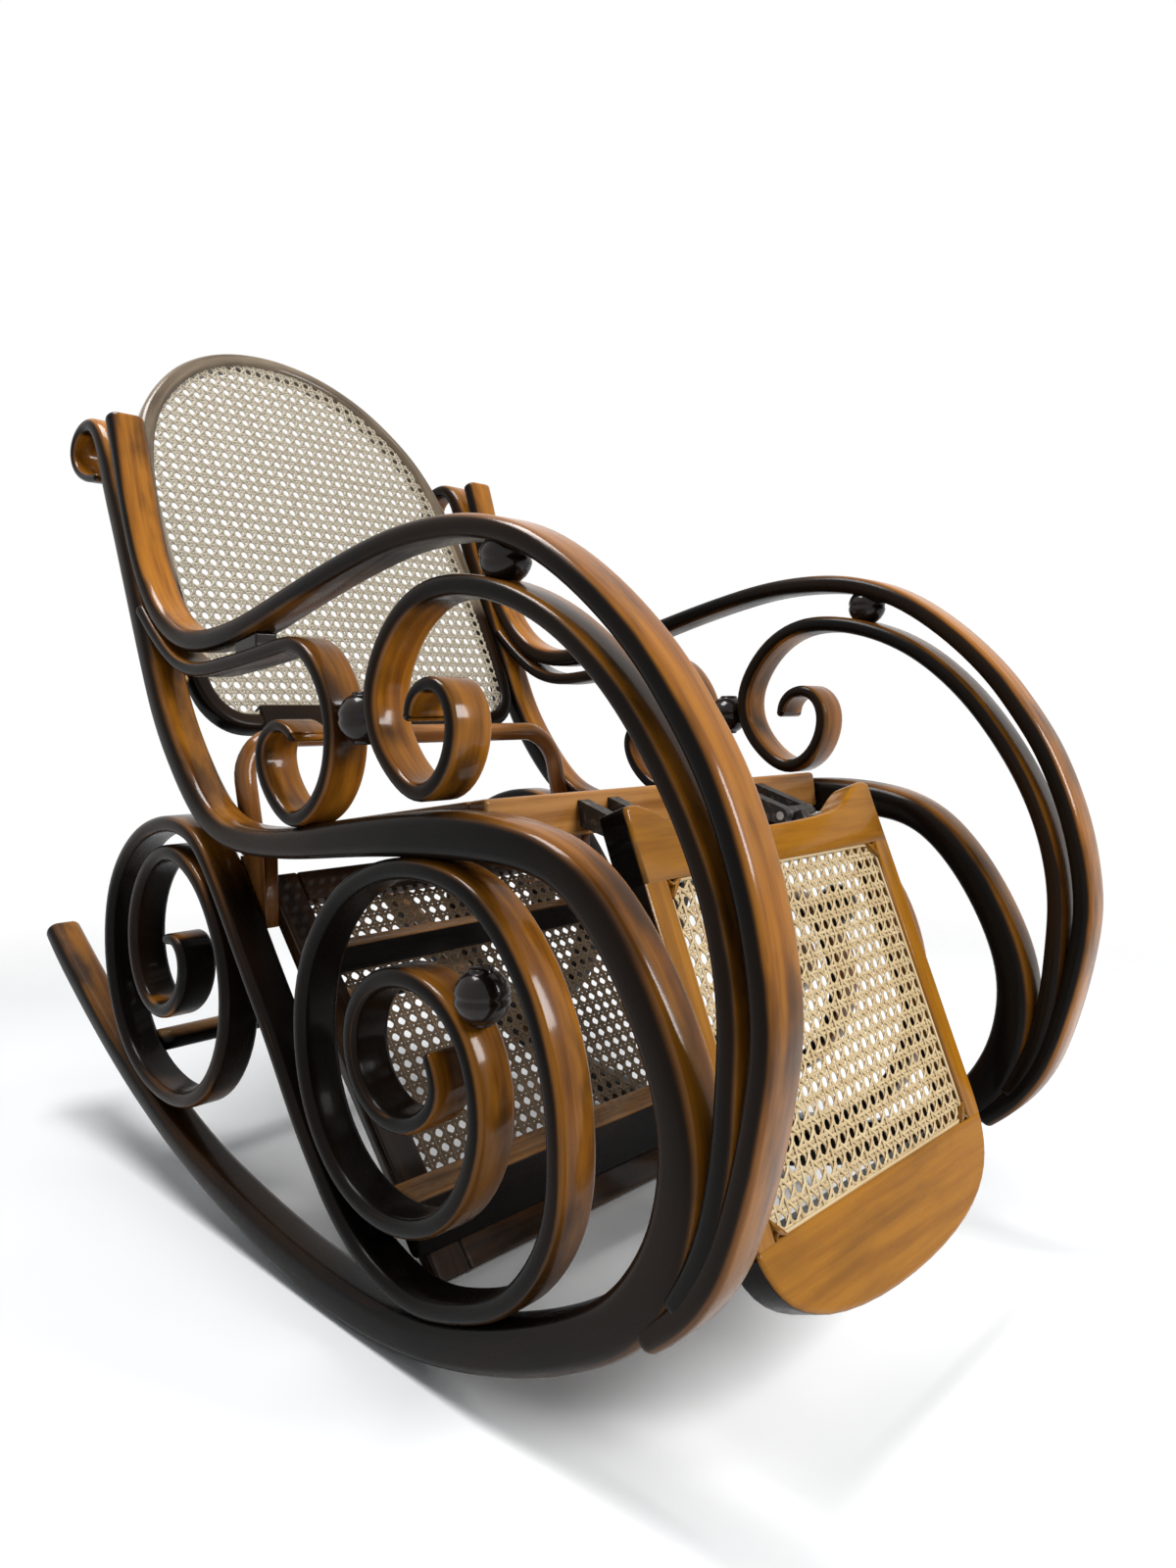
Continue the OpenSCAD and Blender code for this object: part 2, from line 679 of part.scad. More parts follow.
// ---- leg rest ----
// its own frame: x out of its face, z up its slope, as it hangs
module leg_place() {
  translate([leg_at.x, 0, leg_at.y])
    rotate([0, -leg_lean, 0])
      children();
}
module leg_slab(a, b) {
  translate([-b, 0, 0])
    rotate([90, 0, 90])
      linear_extrude(height = b - a)
        children();
}
leg_open_w = leg_w - 2 * leg_stile_w;
leg_top_path = bend([for (s = leg_top_shares) [s.x * leg_w, s.y * leg_l]], bend_steps);
leg_foot_path = bend([for (s = leg_foot_shares) [s.x * leg_w, s.y * leg_l]], bend_steps);
module leg_outline() {
  polygon(concat(leg_top_path, leg_foot_path));
}
module leg_opening() {
  r = leg_stile_w * 0.6;
  for (x = [-1, 1])
    for (z = [-leg_cane_top - r, -leg_cane_top - leg_cane_l + r])
      translate([x * (leg_open_w / 2 - r), z])
        circle(r = r);
  translate([-leg_open_w / 2 + r, -leg_cane_top - leg_cane_l])
    square([leg_open_w - 2 * r, leg_cane_l]);
  translate([-leg_open_w / 2, -leg_cane_top - leg_cane_l + r])
    square([leg_open_w, leg_cane_l - 2 * r]);
}
module leg_top_rail() {
  color([0.85, 0.62, 0.32])
    difference() {
      leg_place()
        leg_slab(0, leg_t)
          intersection() {
            leg_outline();
            translate([-leg_w / 2, -leg_cane_top])
              square([leg_w, leg_cane_top]);
          }
      leaf_screw_places();
    }
}
module leg_foot_board() {
  color([0.85, 0.62, 0.32])
    leg_place()
      leg_slab(0, leg_t)
        intersection() {
          leg_outline();
          translate([-leg_w / 2, -leg_l])
            square([leg_w, leg_l - leg_cane_top - leg_cane_l]);
        }
}
module leg_stiles() {
  color([0.85, 0.62, 0.32])
    leg_place()
      leg_slab(0, leg_t)
        for (s = [-1, 1])
          difference() {
            translate([s * (leg_w / 2 - leg_stile_w) - leg_stile_w, -leg_cane_top - leg_cane_l])
              square([2 * leg_stile_w, leg_cane_l]);
            translate([s * (leg_w / 2 + leg_stile_w) - leg_stile_w, -leg_l])
              square([2 * leg_stile_w, leg_l]);
            leg_opening();
          }
}
module leg_cane() {
  color([0.88, 0.81, 0.66])
    leg_place()
      leg_slab(cane_t, 2 * cane_t)
        leg_opening();
}

// ---- leg rest hinge ----
// the hinge line lies behind the top rail, in the leg rest's own frame
hinge_back = leg_t + leg_pin_d * 2;
hinge_down = leg_pin_d * 2;
leaf_w = leg_pin_d * 3;
bracket_w = leg_pin_d * 1.5;
hinge_y = leg_w / 2 - leg_stile_w * 2.8;
screw_d = leg_pin_d / 2;
screw_l = leg_pin_d * 2;
module hinge_place() {
  leg_place()
    translate([-hinge_back, 0, -hinge_down])
      children();
}
module pin_places(d, w) {
  for (s = [-1, 1])
    hinge_place()
      translate([0, s * hinge_y, 0])
        rotate([90, 0, 0])
          cylinder(d = d, h = w, center = true);
}
module leaf_screw_places() {
  for (s = [-1, 1])
    for (z = [-1, -2.5])
      hinge_place()
        translate([hinge_back - leg_t - leg_pin_d, s * hinge_y, z * leg_pin_d])
          rotate([0, 90, 0])
            cylinder(d = screw_d, h = screw_l + leg_pin_d / 2);
}
module hinge_screw_places() {
  for (s = [-1, 1])
    for (u = [-1, 1])
      seat_place()
        translate([leg_pin_d / 2, s * (hinge_y + u * (leaf_w + bracket_w) / 2), -seat_front_t / 2])
          rotate([0, -90, 0])
            cylinder(d = screw_d, h = screw_l + leg_pin_d / 2);
}
// the moving leaves: a knuckle on the pin and a plate on the back of the leg rest
module leg_hinge_leaves() {
  color([0.2, 0.16, 0.13])
    difference() {
      for (s = [-1, 1])
        hinge_place()
          translate([0, s * hinge_y, 0]) {
            rotate([90, 0, 0])
              cylinder(d = leg_pin_d * 2, h = leaf_w, center = true);
            translate([0, -leaf_w / 2, -leg_pin_d])
              cube([hinge_back - leg_t, leaf_w, leg_pin_d]);
            translate([hinge_back - leg_t - leg_pin_d / 2, -leaf_w / 2, -leg_pin_d * 4])
              cube([leg_pin_d / 2, leaf_w, leg_pin_d * 4]);
          }
      pin_places(leg_pin_d + 2 * pin_gap, leaf_w + 2 * over);
      leaf_screw_places();
    }
}
// the fixed brackets: a pair of ears on a plate behind each knuckle
module hinge_brackets() {
  color([0.2, 0.16, 0.13])
    difference() {
      for (s = [-1, 1])
        for (u = [-1, 1])
          translate([0, s * hinge_y + u * (leaf_w + bracket_w + 4 * pin_gap) / 2, 0])
            bracket_ear();
      seat_place()
        translate([-seat_l, -inner_w, -seat_l])
          cube([seat_l, 2 * inner_w, 2 * seat_l]);
      pin_places(leg_pin_d, leaf_w * 3);
      hinge_screw_places();
    }
}
module bracket_ear() {
  hull() {
    hinge_place()
      rotate([90, 0, 0])
        cylinder(d = leg_pin_d * 2, h = bracket_w, center = true);
    seat_place()
      translate([-over, -bracket_w / 2, -seat_front_t * 0.8])
        cube([over * 2, bracket_w, seat_front_t * 0.6]);
  }
}
module hinge_pins() {
  color([0.5, 0.48, 0.44])
    pin_places(leg_pin_d, leaf_w + 2 * bracket_w + 4 * pin_gap);
}
module bracket_screws() {
  color([0.5, 0.48, 0.44])
    hinge_screw_places();
}
module leaf_screws() {
  color([0.5, 0.48, 0.44])
    leaf_screw_places();
}

main_member(false);  // right_main_member
main_member(true);  // left_main_member
outer_arm(false);  // right_outer_arm
outer_arm(true);  // left_outer_arm
inner_arm(false);  // right_inner_arm
inner_arm(true);  // left_inner_arm
rear_scroll(false);  // right_rear_scroll
rear_scroll(true);  // left_rear_scroll
s_scroll(false);  // right_s_scroll
s_scroll(true);  // left_s_scroll
arm_balls();
scroll_balls();
spiral_balls();
arm_blocks();
back_hoop();
back_bottom_rail();
back_cane();
back_dowels();
seat_front_rail();
seat_side_rails();
seat_rear_rail();
seat_cane();
seat_dowels();
rear_hoop();
panel_hangers();
under_top_rail();
under_side_rails();
under_foot_rail();
under_cane();
lower_crossbar();
square_stretcher();
rear_stretcher();
stretcher_dowels();
leg_top_rail();
leg_stiles();
leg_foot_board();
leg_cane();
leg_hinge_leaves();
hinge_brackets();
hinge_pins();
bracket_screws();
leaf_screws();
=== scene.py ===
from math import atan2, cos, pi, radians, sin, tan
import bmesh
import bpy
from mathutils import Matrix, Vector


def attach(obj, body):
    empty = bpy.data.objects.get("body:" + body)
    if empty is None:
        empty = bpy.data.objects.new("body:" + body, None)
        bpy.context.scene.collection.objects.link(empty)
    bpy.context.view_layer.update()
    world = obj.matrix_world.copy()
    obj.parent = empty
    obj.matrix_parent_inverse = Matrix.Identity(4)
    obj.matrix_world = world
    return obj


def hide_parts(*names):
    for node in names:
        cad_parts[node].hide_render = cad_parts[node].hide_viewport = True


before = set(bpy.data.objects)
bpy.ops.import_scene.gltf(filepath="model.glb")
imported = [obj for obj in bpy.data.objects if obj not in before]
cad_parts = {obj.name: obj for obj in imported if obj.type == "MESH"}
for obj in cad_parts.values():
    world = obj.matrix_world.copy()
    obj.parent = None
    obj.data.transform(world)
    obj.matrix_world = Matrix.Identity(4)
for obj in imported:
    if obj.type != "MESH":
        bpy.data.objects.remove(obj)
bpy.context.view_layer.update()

# ---- Camera ----
# Stands off the chair's right front corner, a little above the seat, and tips down by four
# degrees. The picture it frames is 1200 x 1600.
CAMERA_AT = (0.8755, -0.7464, 0.5335)
CAMERA_RIGHT = (0.71960, 0.69439, 0.0)
CAMERA_UP = (-0.05121, 0.05307, 0.99728)
CAMERA_BACK = (0.69249, -0.71764, 0.07375)
CAMERA_LENS = 24.19

camera_data = bpy.data.cameras.new("camera")
camera_data.sensor_fit = "VERTICAL"
camera_data.sensor_height = 36
camera_data.lens = CAMERA_LENS
camera = bpy.data.objects.new("camera", camera_data)
bpy.context.scene.collection.objects.link(camera)
turn = Matrix((CAMERA_RIGHT, CAMERA_UP, CAMERA_BACK)).transposed().to_4x4()
camera.matrix_world = Matrix.Translation(CAMERA_AT) @ turn
bpy.context.scene.camera = camera
bpy.context.scene.view_settings.view_transform = "Standard"

# ---- Wood finish ----
# Steam-bent beech under a thick stain and polish: honey brown on the broad bent faces, nearly black
# along the sides, where the stain was laid on heavily, and glossy all over. The same near-black is
# painted shade on faces turned from the front light, low down near the floor, inside the S scroll
# and below the cross pieces' tops.
def effect(name, takes, gives):
    """a shader node group with named sockets: the group, its input and its output node"""
    tree = bpy.data.node_groups.new(name, "ShaderNodeTree")
    for label, kind, value in takes:
        socket = tree.interface.new_socket(label, in_out="INPUT", socket_type="NodeSocket" + kind)
        socket.default_value = value
    for label, kind in gives:
        tree.interface.new_socket(label, in_out="OUTPUT", socket_type="NodeSocket" + kind)
    return tree, tree.nodes.new("NodeGroupInput"), tree.nodes.new("NodeGroupOutput")


def node(tree, kind, inputs=(), **settings):
    """a node with its settings; inputs maps socket names or numbers to values or output sockets"""
    made = tree.nodes.new("ShaderNode" + kind)
    for key, value in settings.items():
        setattr(made, key, value)
    for key, value in dict(inputs).items():
        if isinstance(value, bpy.types.NodeSocket):
            tree.links.new(value, made.inputs[key])
        else:
            made.inputs[key].default_value = value
    return made


def blend(tree, share, first, second):
    """a mix of two colours: its Result socket"""
    return node(tree, "Mix", {0: share, 6: first, 7: second}, data_type="RGBA").outputs[2]


def ranged(tree, value, low, high, out_low=0.0, out_high=1.0):
    """a smooth step of a value"""
    limits = {"Value": value, "From Min": low, "From Max": high, "To Min": out_low,
              "To Max": out_high}
    return node(tree, "MapRange", limits, interpolation_type="SMOOTHSTEP").outputs[0]


def maths(tree, operation, first, second):
    """one sum on two numbers"""
    return node(tree, "Math", {0: first, 1: second}, operation=operation).outputs[0]


def streaks(tree, along, stretch, detail=3.0, rough=0.55):
    """noise drawn out along the grain"""
    drawn = node(tree, "Mapping", {"Vector": along, "Scale": stretch}).outputs[0]
    noise = {"Vector": drawn, "Scale": 1.0, "Detail": detail, "Roughness": rough}
    return node(tree, "TexNoise", noise).outputs["Fac"]


PORE_COLOUR = (0.03, 0.012, 0.006, 1)
# the stain's thinner tone, which also colours the painted shade
THIN_STAIN_AND_SHADE = (0.013, 0.006, 0.0025, 1)
LOW_DARK_AT, LOW_CLEAR_AT = 0.10, 0.40
ROUGH_LOW, ROUGH_HIGH = 0.2, 0.4
STAIN_AND_SHADE_COAT = 0.2

wood_grain, grain_in, grain_out = effect(
    "wood_grain",
    [("Face", "Color", (0.36, 0.13, 0.02, 1)), ("Figure", "Color", (0.18, 0.05, 0.01, 1)),
     ("Stain and shade", "Color", (0.01, 0.006, 0.004, 1)), ("Stain and shade reach", "Float", 1.0),
     ("Mottle", "Float", 0.3), ("Low", "Float", 0.0), ("Polish", "Float", 0.5)],
    [("Color", "Color"), ("Roughness", "Float"), ("Height", "Float"), ("Coat", "Float")])
grain = {socket.name: socket for socket in grain_in.outputs}
along = node(wood_grain, "Attribute", attribute_name="grain").outputs["Vector"]
side = node(wood_grain, "Attribute", attribute_name="side").outputs["Fac"]

# the bare face: its figure, its pores and cloudy patches of old stain
figure = ranged(wood_grain, streaks(wood_grain, along, (5, 95, 95), 4.0, 0.6), 0.36, 0.68)
pores = ranged(wood_grain, streaks(wood_grain, along, (45, 1300, 1300), 2.0), 0.62, 0.78)
cloud = streaks(wood_grain, along, (9, 26, 26), 3.0)
face = blend(wood_grain, figure, grain["Face"], grain["Figure"])
face = blend(wood_grain, maths(wood_grain, "MULTIPLY", pores, 0.45), face, PORE_COLOUR)
dark = maths(wood_grain, "MULTIPLY", ranged(wood_grain, cloud, 0.42, 0.72), grain["Mottle"])
face = blend(wood_grain, dark, face, grain["Stain and shade"])

# the black stain along the sides, thinner in places, and the same near-black as painted shade low
# down near the floor and wherever the side mask holds painted shade
uneven = maths(wood_grain, "MULTIPLY", maths(wood_grain, "SUBTRACT", cloud, 0.5), 0.3)
reach = maths(wood_grain, "ADD", side, uneven)
stain_and_shade = maths(wood_grain, "MULTIPLY", ranged(wood_grain, reach, 0.35, 0.8), grain["Stain and shade reach"])
# painted shade low down near the floor, fading out upward
where = node(wood_grain, "TexCoord").outputs["Object"]
up = node(wood_grain, "SeparateXYZ", {0: where}).outputs["Z"]
up = maths(wood_grain, "ADD", up, maths(wood_grain, "MULTIPLY", cloud, 0.12))
low = ranged(wood_grain, up, LOW_DARK_AT, LOW_CLEAR_AT, 1.0, 0.0)
stain_and_shade = maths(wood_grain, "MAXIMUM", stain_and_shade, maths(wood_grain, "MULTIPLY", low, grain["Low"]))
worn = ranged(wood_grain, streaks(wood_grain, along, (3, 12, 12), 2.0), 0.45, 0.7)
tone = blend(wood_grain, stain_and_shade, face, blend(wood_grain, worn, grain["Stain and shade"], THIN_STAIN_AND_SHADE))
wood_grain.links.new(tone, grain_out.inputs["Color"])

# the polish: smeared, sunk into the pores, and duller over the stain and the painted shade
smear = streaks(wood_grain, along, (14, 40, 40), 4.0)
rough = ranged(wood_grain, smear, 0.3, 0.75, ROUGH_LOW, ROUGH_HIGH)
wood_grain.links.new(rough, grain_out.inputs["Roughness"])
height = maths(wood_grain, "SUBTRACT", maths(wood_grain, "MULTIPLY", figure, 0.25), pores)
wood_grain.links.new(height, grain_out.inputs["Height"])
gloss = ranged(wood_grain, stain_and_shade, 0.0, 1.0, 1.0, STAIN_AND_SHADE_COAT)
gloss = maths(wood_grain, "MULTIPLY", grain["Polish"], gloss)
wood_grain.links.new(gloss, grain_out.inputs["Coat"])
BUMP_DEPTH = 0.0004


def finish(name, effect_tree, values, bump, **shader):
    """a material: one effect into a Principled shader, with the shader's own constants"""
    material = bpy.data.materials.new(name)
    material.use_nodes = True
    tree = material.node_tree
    surface = tree.nodes["Principled BSDF"]
    for key, value in shader.items():
        surface.inputs[key.replace("_", " ")].default_value = value
    pattern = tree.nodes.new("ShaderNodeGroup")
    pattern.node_tree = effect_tree
    for key, value in values.items():
        pattern.inputs[key].default_value = value
    tree.links.new(pattern.outputs["Color"], surface.inputs["Base Color"])
    tree.links.new(pattern.outputs["Roughness"], surface.inputs["Roughness"])
    if "Coat" in pattern.outputs:
        tree.links.new(pattern.outputs["Coat"], surface.inputs["Coat Weight"])
    relief = {"Height": pattern.outputs["Height"], "Strength": bump, "Distance": BUMP_DEPTH}
    tree.links.new(node(tree, "Bump", relief).outputs[0], surface.inputs["Normal"])
    return material


# the stain's near-black, which is also the colour of the painted shade
STAIN_AND_SHADE = (0.004, 0.003, 0.0024, 1)


def wood(name, face, figure, stain_and_shade, mottle=0.3, low=0.0, polish=0.4):
    """a polished wood from its face and figure colours and how far the black stain and the painted
    shade go
    """
    values = {"Face": (*face, 1), "Figure": (*figure, 1), "Stain and shade": STAIN_AND_SHADE, "Stain and shade reach": stain_and_shade,
              "Mottle": mottle, "Low": low, "Polish": polish}
    return finish(name, wood_grain, values, 0.25, Specular_IOR_Level=0.05, Coat_Roughness=0.11,
                  Coat_IOR=1.42)


bent_wood = wood("bent_honey_wood", (0.30, 0.112, 0.010), (0.17, 0.055, 0.005), 1.0, 0.8, 0.97)

# ---- Bent members ----
# Five steam-bent bars in each side frame, 40 mm wide with rounded edges: the long one that is
# post, seat rail, front loop and runner, two arms, the scroll behind the arm and the S scroll
# under the seat. They lie in one upright plane and meet face to face.
FRAME_L = 1.111
FRAME_H = 0.857
MEMBER_W = 0.040
MID_Y = 0.25
CORNER = 0.012
END_ROUND = 0.004
SECTION_SIDES = 24
FULLEST_CORNER = 0.92
STAIN_EDGE = 1.5
BEND_STEPS = 5

main_shares = [
    (-0.309, 0.918, 0.28), (-0.337, 0.921, 0.3), (-0.363, 0.935, 0.32), (-0.373, 0.959, 0.34),
    (-0.364, 0.98, 0.36), (-0.342, 0.992, 0.4), (-0.319, 0.988, 0.6), (-0.302, 0.961, 0.85),
    (-0.289, 0.912, 1), (-0.263, 0.838, 1), (-0.238, 0.757, 1), (-0.213, 0.68, 1),
    (-0.191, 0.614, 1), (-0.162, 0.563, 1), (-0.126, 0.511, 0.97), (-0.091, 0.484, 0.9),
    (-0.049, 0.473, 0.87), (0.023, 0.477, 0.9), (0.095, 0.491, 1), (0.167, 0.504, 1.1),
    (0.246, 0.513, 1.2), (0.302, 0.511, 1.08), (0.338, 0.502, 1), (0.367, 0.48, 1),
    (0.397, 0.436, 1), (0.421, 0.383, 1.03), (0.435, 0.337, 1.08), (0.439, 0.29, 1.16),
    (0.432, 0.235, 1.25), (0.412, 0.184, 1.32), (0.383, 0.143, 1.25), (0.332, 0.102, 1.25),
    (0.284, 0.073, 1.24), (0.234, 0.048, 1.2), (0.176, 0.028, 1.15), (0.104, 0.021, 1.32),
    (0.023, 0.026, 1.24), (-0.067, 0.045, 1.1), (-0.157, 0.069, 1), (-0.247, 0.111, 1),
    (-0.331, 0.16, 1), (-0.42, 0.226, 1), (-0.463, 0.26, 0.97), (-0.494, 0.288, 0.85),
]

outer_shares = [
    (-0.278, 0.99, 1), (-0.268, 0.953, 1), (-0.258, 0.905, 1), (-0.246, 0.854, 1),
    (-0.224, 0.786, 1), (-0.192, 0.731, 1), (-0.15, 0.7, 1), (-0.108, 0.695, 1),
    (-0.066, 0.7, 0.95), (-0.02, 0.71, 0.9), (0.068, 0.742, 0.8), (0.158, 0.768, 0.75),
    (0.203, 0.774, 0.77), (0.248, 0.774, 0.8), (0.288, 0.766, 0.8), (0.329, 0.746, 0.8),
    (0.376, 0.703, 0.8), (0.412, 0.658, 0.8), (0.432, 0.623, 0.8), (0.454, 0.582, 0.8),
    (0.47, 0.536, 0.8), (0.482, 0.491, 0.8), (0.489, 0.446, 0.8), (0.492, 0.407, 0.8),
    (0.489, 0.37, 0.8), (0.484, 0.332, 0.8), (0.477, 0.291, 0.8), (0.465, 0.242, 0.85),
    (0.453, 0.212, 0.9), (0.434, 0.18, 0.95), (0.412, 0.157, 1),
]

inner_shares = [
    (0.434, 0.192, 1.2), (0.45, 0.226, 1.2), (0.461, 0.267, 1.25), (0.468, 0.317, 1.25),
    (0.47, 0.369, 1.15), (0.471, 0.412, 1.05), (0.466, 0.457, 1), (0.456, 0.501, 1),
    (0.441, 0.543, 1), (0.422, 0.583, 1), (0.396, 0.627, 1), (0.368, 0.662, 1), (0.335, 0.693, 1),
    (0.293, 0.716, 1), (0.248, 0.726, 1), (0.212, 0.722, 1), (0.18, 0.697, 1), (0.159, 0.658, 1),
    (0.153, 0.625, 1), (0.16, 0.591, 1), (0.184, 0.557, 0.95), (0.212, 0.54, 0.9),
    (0.238, 0.562, 0.88), (0.249, 0.599, 0.85), (0.245, 0.628, 0.8), (0.23, 0.644, 0.75),
    (0.212, 0.64, 0.7), (0.202, 0.626, 0.65), (0.201, 0.609, 0.55),
]

rear_shares = [
    (-0.224, 0.743, 1), (-0.199, 0.714, 1), (-0.179, 0.695, 1), (-0.157, 0.677, 1),
    (-0.132, 0.666, 1), (-0.103, 0.663, 1), (-0.067, 0.668, 1), (-0.022, 0.674, 1),
    (0.023, 0.683, 1), (0.046, 0.686, 1), (0.064, 0.68, 1), (0.079, 0.666, 1), (0.093, 0.642, 1),
    (0.101, 0.616, 1), (0.103, 0.588, 1), (0.098, 0.557, 1), (0.084, 0.53, 1), (0.066, 0.513, 1),
    (0.045, 0.504, 1), (0.026, 0.515, 1), (0.009, 0.535, 1), (0, 0.555, 0.95),
    (-0.002, 0.574, 0.9), (0.004, 0.589, 0.85), (0.015, 0.599, 0.8), (0.027, 0.604, 0.75),
    (0.042, 0.6, 0.7), (0.054, 0.588, 0.6),
]

scroll_shares = [
    (-0.189, 0.335, 0.6), (-0.168, 0.342, 0.75), (-0.151, 0.317, 0.9), (-0.159, 0.275, 1),
    (-0.189, 0.243, 1), (-0.225, 0.237, 1), (-0.256, 0.267, 1), (-0.268, 0.325, 1),
    (-0.252, 0.389, 1), (-0.213, 0.438, 1), (-0.168, 0.449, 1), (-0.121, 0.424, 1),
    (-0.087, 0.37, 1), (-0.07, 0.302, 1), (-0.081, 0.223, 1), (-0.119, 0.162, 1),
    (-0.162, 0.137, 1), (-0.202, 0.131, 1), (-0.261, 0.146, 1), (-0.308, 0.2, 1), (-0.328, 0.29, 1),
    (-0.315, 0.374, 1), (-0.283, 0.426, 1), (-0.241, 0.463, 1), (-0.193, 0.48, 1),
    (-0.155, 0.48, 1), (-0.124, 0.469, 1), (-0.094, 0.43, 1), (-0.061, 0.375, 1), (-0.03, 0.321, 1),
    (0, 0.274, 1), (0.028, 0.22, 1), (0.05, 0.18, 1), (0.071, 0.149, 1), (0.09, 0.121, 1),
    (0.115, 0.095, 1), (0.146, 0.075, 1), (0.194, 0.064, 1), (0.245, 0.085, 1), (0.292, 0.114, 1),
    (0.324, 0.164, 1), (0.341, 0.214, 1), (0.344, 0.272, 1), (0.338, 0.337, 1), (0.315, 0.407, 1),
    (0.271, 0.463, 1), (0.23, 0.478, 1), (0.187, 0.478, 1), (0.144, 0.464, 1), (0.104, 0.436, 1),
    (0.068, 0.384, 1), (0.048, 0.317, 1), (0.052, 0.237, 1), (0.077, 0.176, 1), (0.117, 0.138, 1),
    (0.167, 0.128, 1), (0.221, 0.15, 1), (0.259, 0.205, 1), (0.272, 0.272, 1), (0.259, 0.333, 1),
    (0.228, 0.369, 1), (0.187, 0.379, 1), (0.144, 0.363, 1), (0.118, 0.317, 1),
    (0.124, 0.261, 0.95), (0.16, 0.227, 0.9), (0.205, 0.24, 0.85), (0.231, 0.279, 0.75),
    (0.217, 0.314, 0.6),
]


def bend(stops, steps):
    """places on a cubic B-spline that runs close by given stops and ends at the last"""
    led = [2 * stops[0] - stops[1]] + stops + [2 * stops[-1] - stops[-2]]
    curve = []
    for a, b, c, d in zip(led, led[1:], led[2:], led[3:]):
        for u in (k / steps for k in range(steps)):
            curve.append(((1 - u) ** 3 * a + (3 * u ** 3 - 6 * u ** 2 + 4) * b
                          + (3 * u * (1 + u - u ** 2) + 1) * c + u ** 3 * d) / 6)
    return curve + [stops[-1]]


def new_mesh():
    """an empty mesh with the attributes that the finishes read"""
    made = bmesh.new()
    made.verts.layers.float_vector.new("grain")
    made.verts.layers.float.new("side")
    made.verts.layers.int.new("place")
    return made


def sweep(bm, lines, count, corner=None, starts=None):
    """
    carries a section of count sides along each line of (centre, half width, half thickness)
    stations: an ellipse, or a rectangle with corners rounded to a radius. starts are the places
    along the grain where the lines begin
    """
    grain = bm.verts.layers.float_vector["grain"]
    side = bm.verts.layers.float["side"]
    place = bm.verts.layers.int["place"]
    grown = []
    for number in range(len(lines)):
        ring = bmesh.ops.create_circle(bm, segments=count, radius=1)["verts"]
        bmesh.ops.rotate(bm, verts=ring, matrix=Matrix.Rotation(pi / count, 3, "Z"))
        unit = [v.co.xy.copy() for v in ring]
        for corner_number, v in enumerate(ring):
            v[place] = number * count + corner_number
            grown.append(v)
        grown += {edge for v in ring for edge in v.link_edges}
    runs = list(starts or [0.0] * len(lines))
    for step in range(max(len(line) for line in lines)):
        if step:
            going = [edge for edge in edges if step < len(lines[edge.verts[0][place] // count])]
            grown = bmesh.ops.extrude_edge_only(bm, edges=going)["geom"]
            for number, line in enumerate(lines):
                if step < len(line):
                    runs[number] += (line[step][0] - line[step - 1][0]).length
        edges = [part for part in grown if isinstance(part, bmesh.types.BMEdge)]
        for v in grown:
            if isinstance(v, bmesh.types.BMVert):
                number, corner_number = divmod(v[place], count)
                centre, wide, thick = lines[number][step]
                half_w, half_t = wide.length, thick.length
                x, y = unit[corner_number]
                v[side] = abs(x) ** STAIN_EDGE
                if corner is not None:
                    r = min(corner, half_t * FULLEST_CORNER, half_w * FULLEST_CORNER)
                    x = (abs(x) * r / half_w + 1 - r / half_w) * (1 if x > 0 else -1)
                    y = (abs(y) * r / half_t + 1 - r / half_t) * (1 if y > 0 else -1)
                v.co = centre + wide * x + thick * y
                v[grain] = (runs[number], half_w * x, half_t * y)
    bmesh.ops.holes_fill(bm, edges=[edge for edge in bm.edges if edge.is_boundary], sides=0)


def cut(bm, at, outward):
    """cuts away what lies outside a plane and closes the cut"""
    every = bm.verts[:] + bm.edges[:] + bm.faces[:]
    bmesh.ops.bisect_plane(bm, geom=every, plane_co=at, plane_no=outward, clear_outer=True)
    bmesh.ops.holes_fill(bm, edges=[edge for edge in bm.edges if edge.is_boundary], sides=0)


def domed(stations, corner):
    """puts shrinking stations in the place of both ends, so that the ends are rounded over"""
    def cap(end, before):
        out = (end[0] - before[0]).normalized()
        rings = []
        for angle in (0, 30, 60, 85):
            shrink = corner * (1 - cos(radians(angle)))
            rings.append((end[0] + out * corner * (sin(radians(angle)) - 1),
                          end[1] * (1 - shrink / end[1].length),
                          end[2] * (1 - min(shrink / end[2].length, 0.9))))
        return rings
    return cap(stations[0], stations[1])[::-1] + stations[1:-1] + cap(stations[-1], stations[-2])


def flat_stations(curve, depth, half_depth, half_thick):
    """stations along a curve that lies in an upright plane at a depth"""
    made = []
    for i, stop in enumerate(curve):
        heading = (curve[min(i + 1, len(curve) - 1)] - curve[max(i - 1, 0)]).xz.normalized()
        across = Vector((-heading.y, 0, heading.x))
        centre = Vector((stop.x, depth, stop.z))
        made.append((centre, Vector((0, half_depth, 0)), across * half_thick))
    return made


def side_view_stations(shares, thickness, centre_y):
    """stations from a table of shares of the frame's length, its height and a member's thickness"""
    stops = [Vector((x * FRAME_L, t * thickness, z * FRAME_H)) for x, z, t in shares]
    curve = bend(stops, BEND_STEPS)
    made = flat_stations(curve, centre_y, MEMBER_W / 2, 1)
    return [(centre, wide, across * stop.y / 2)
            for stop, (centre, wide, across) in zip(curve, made)]


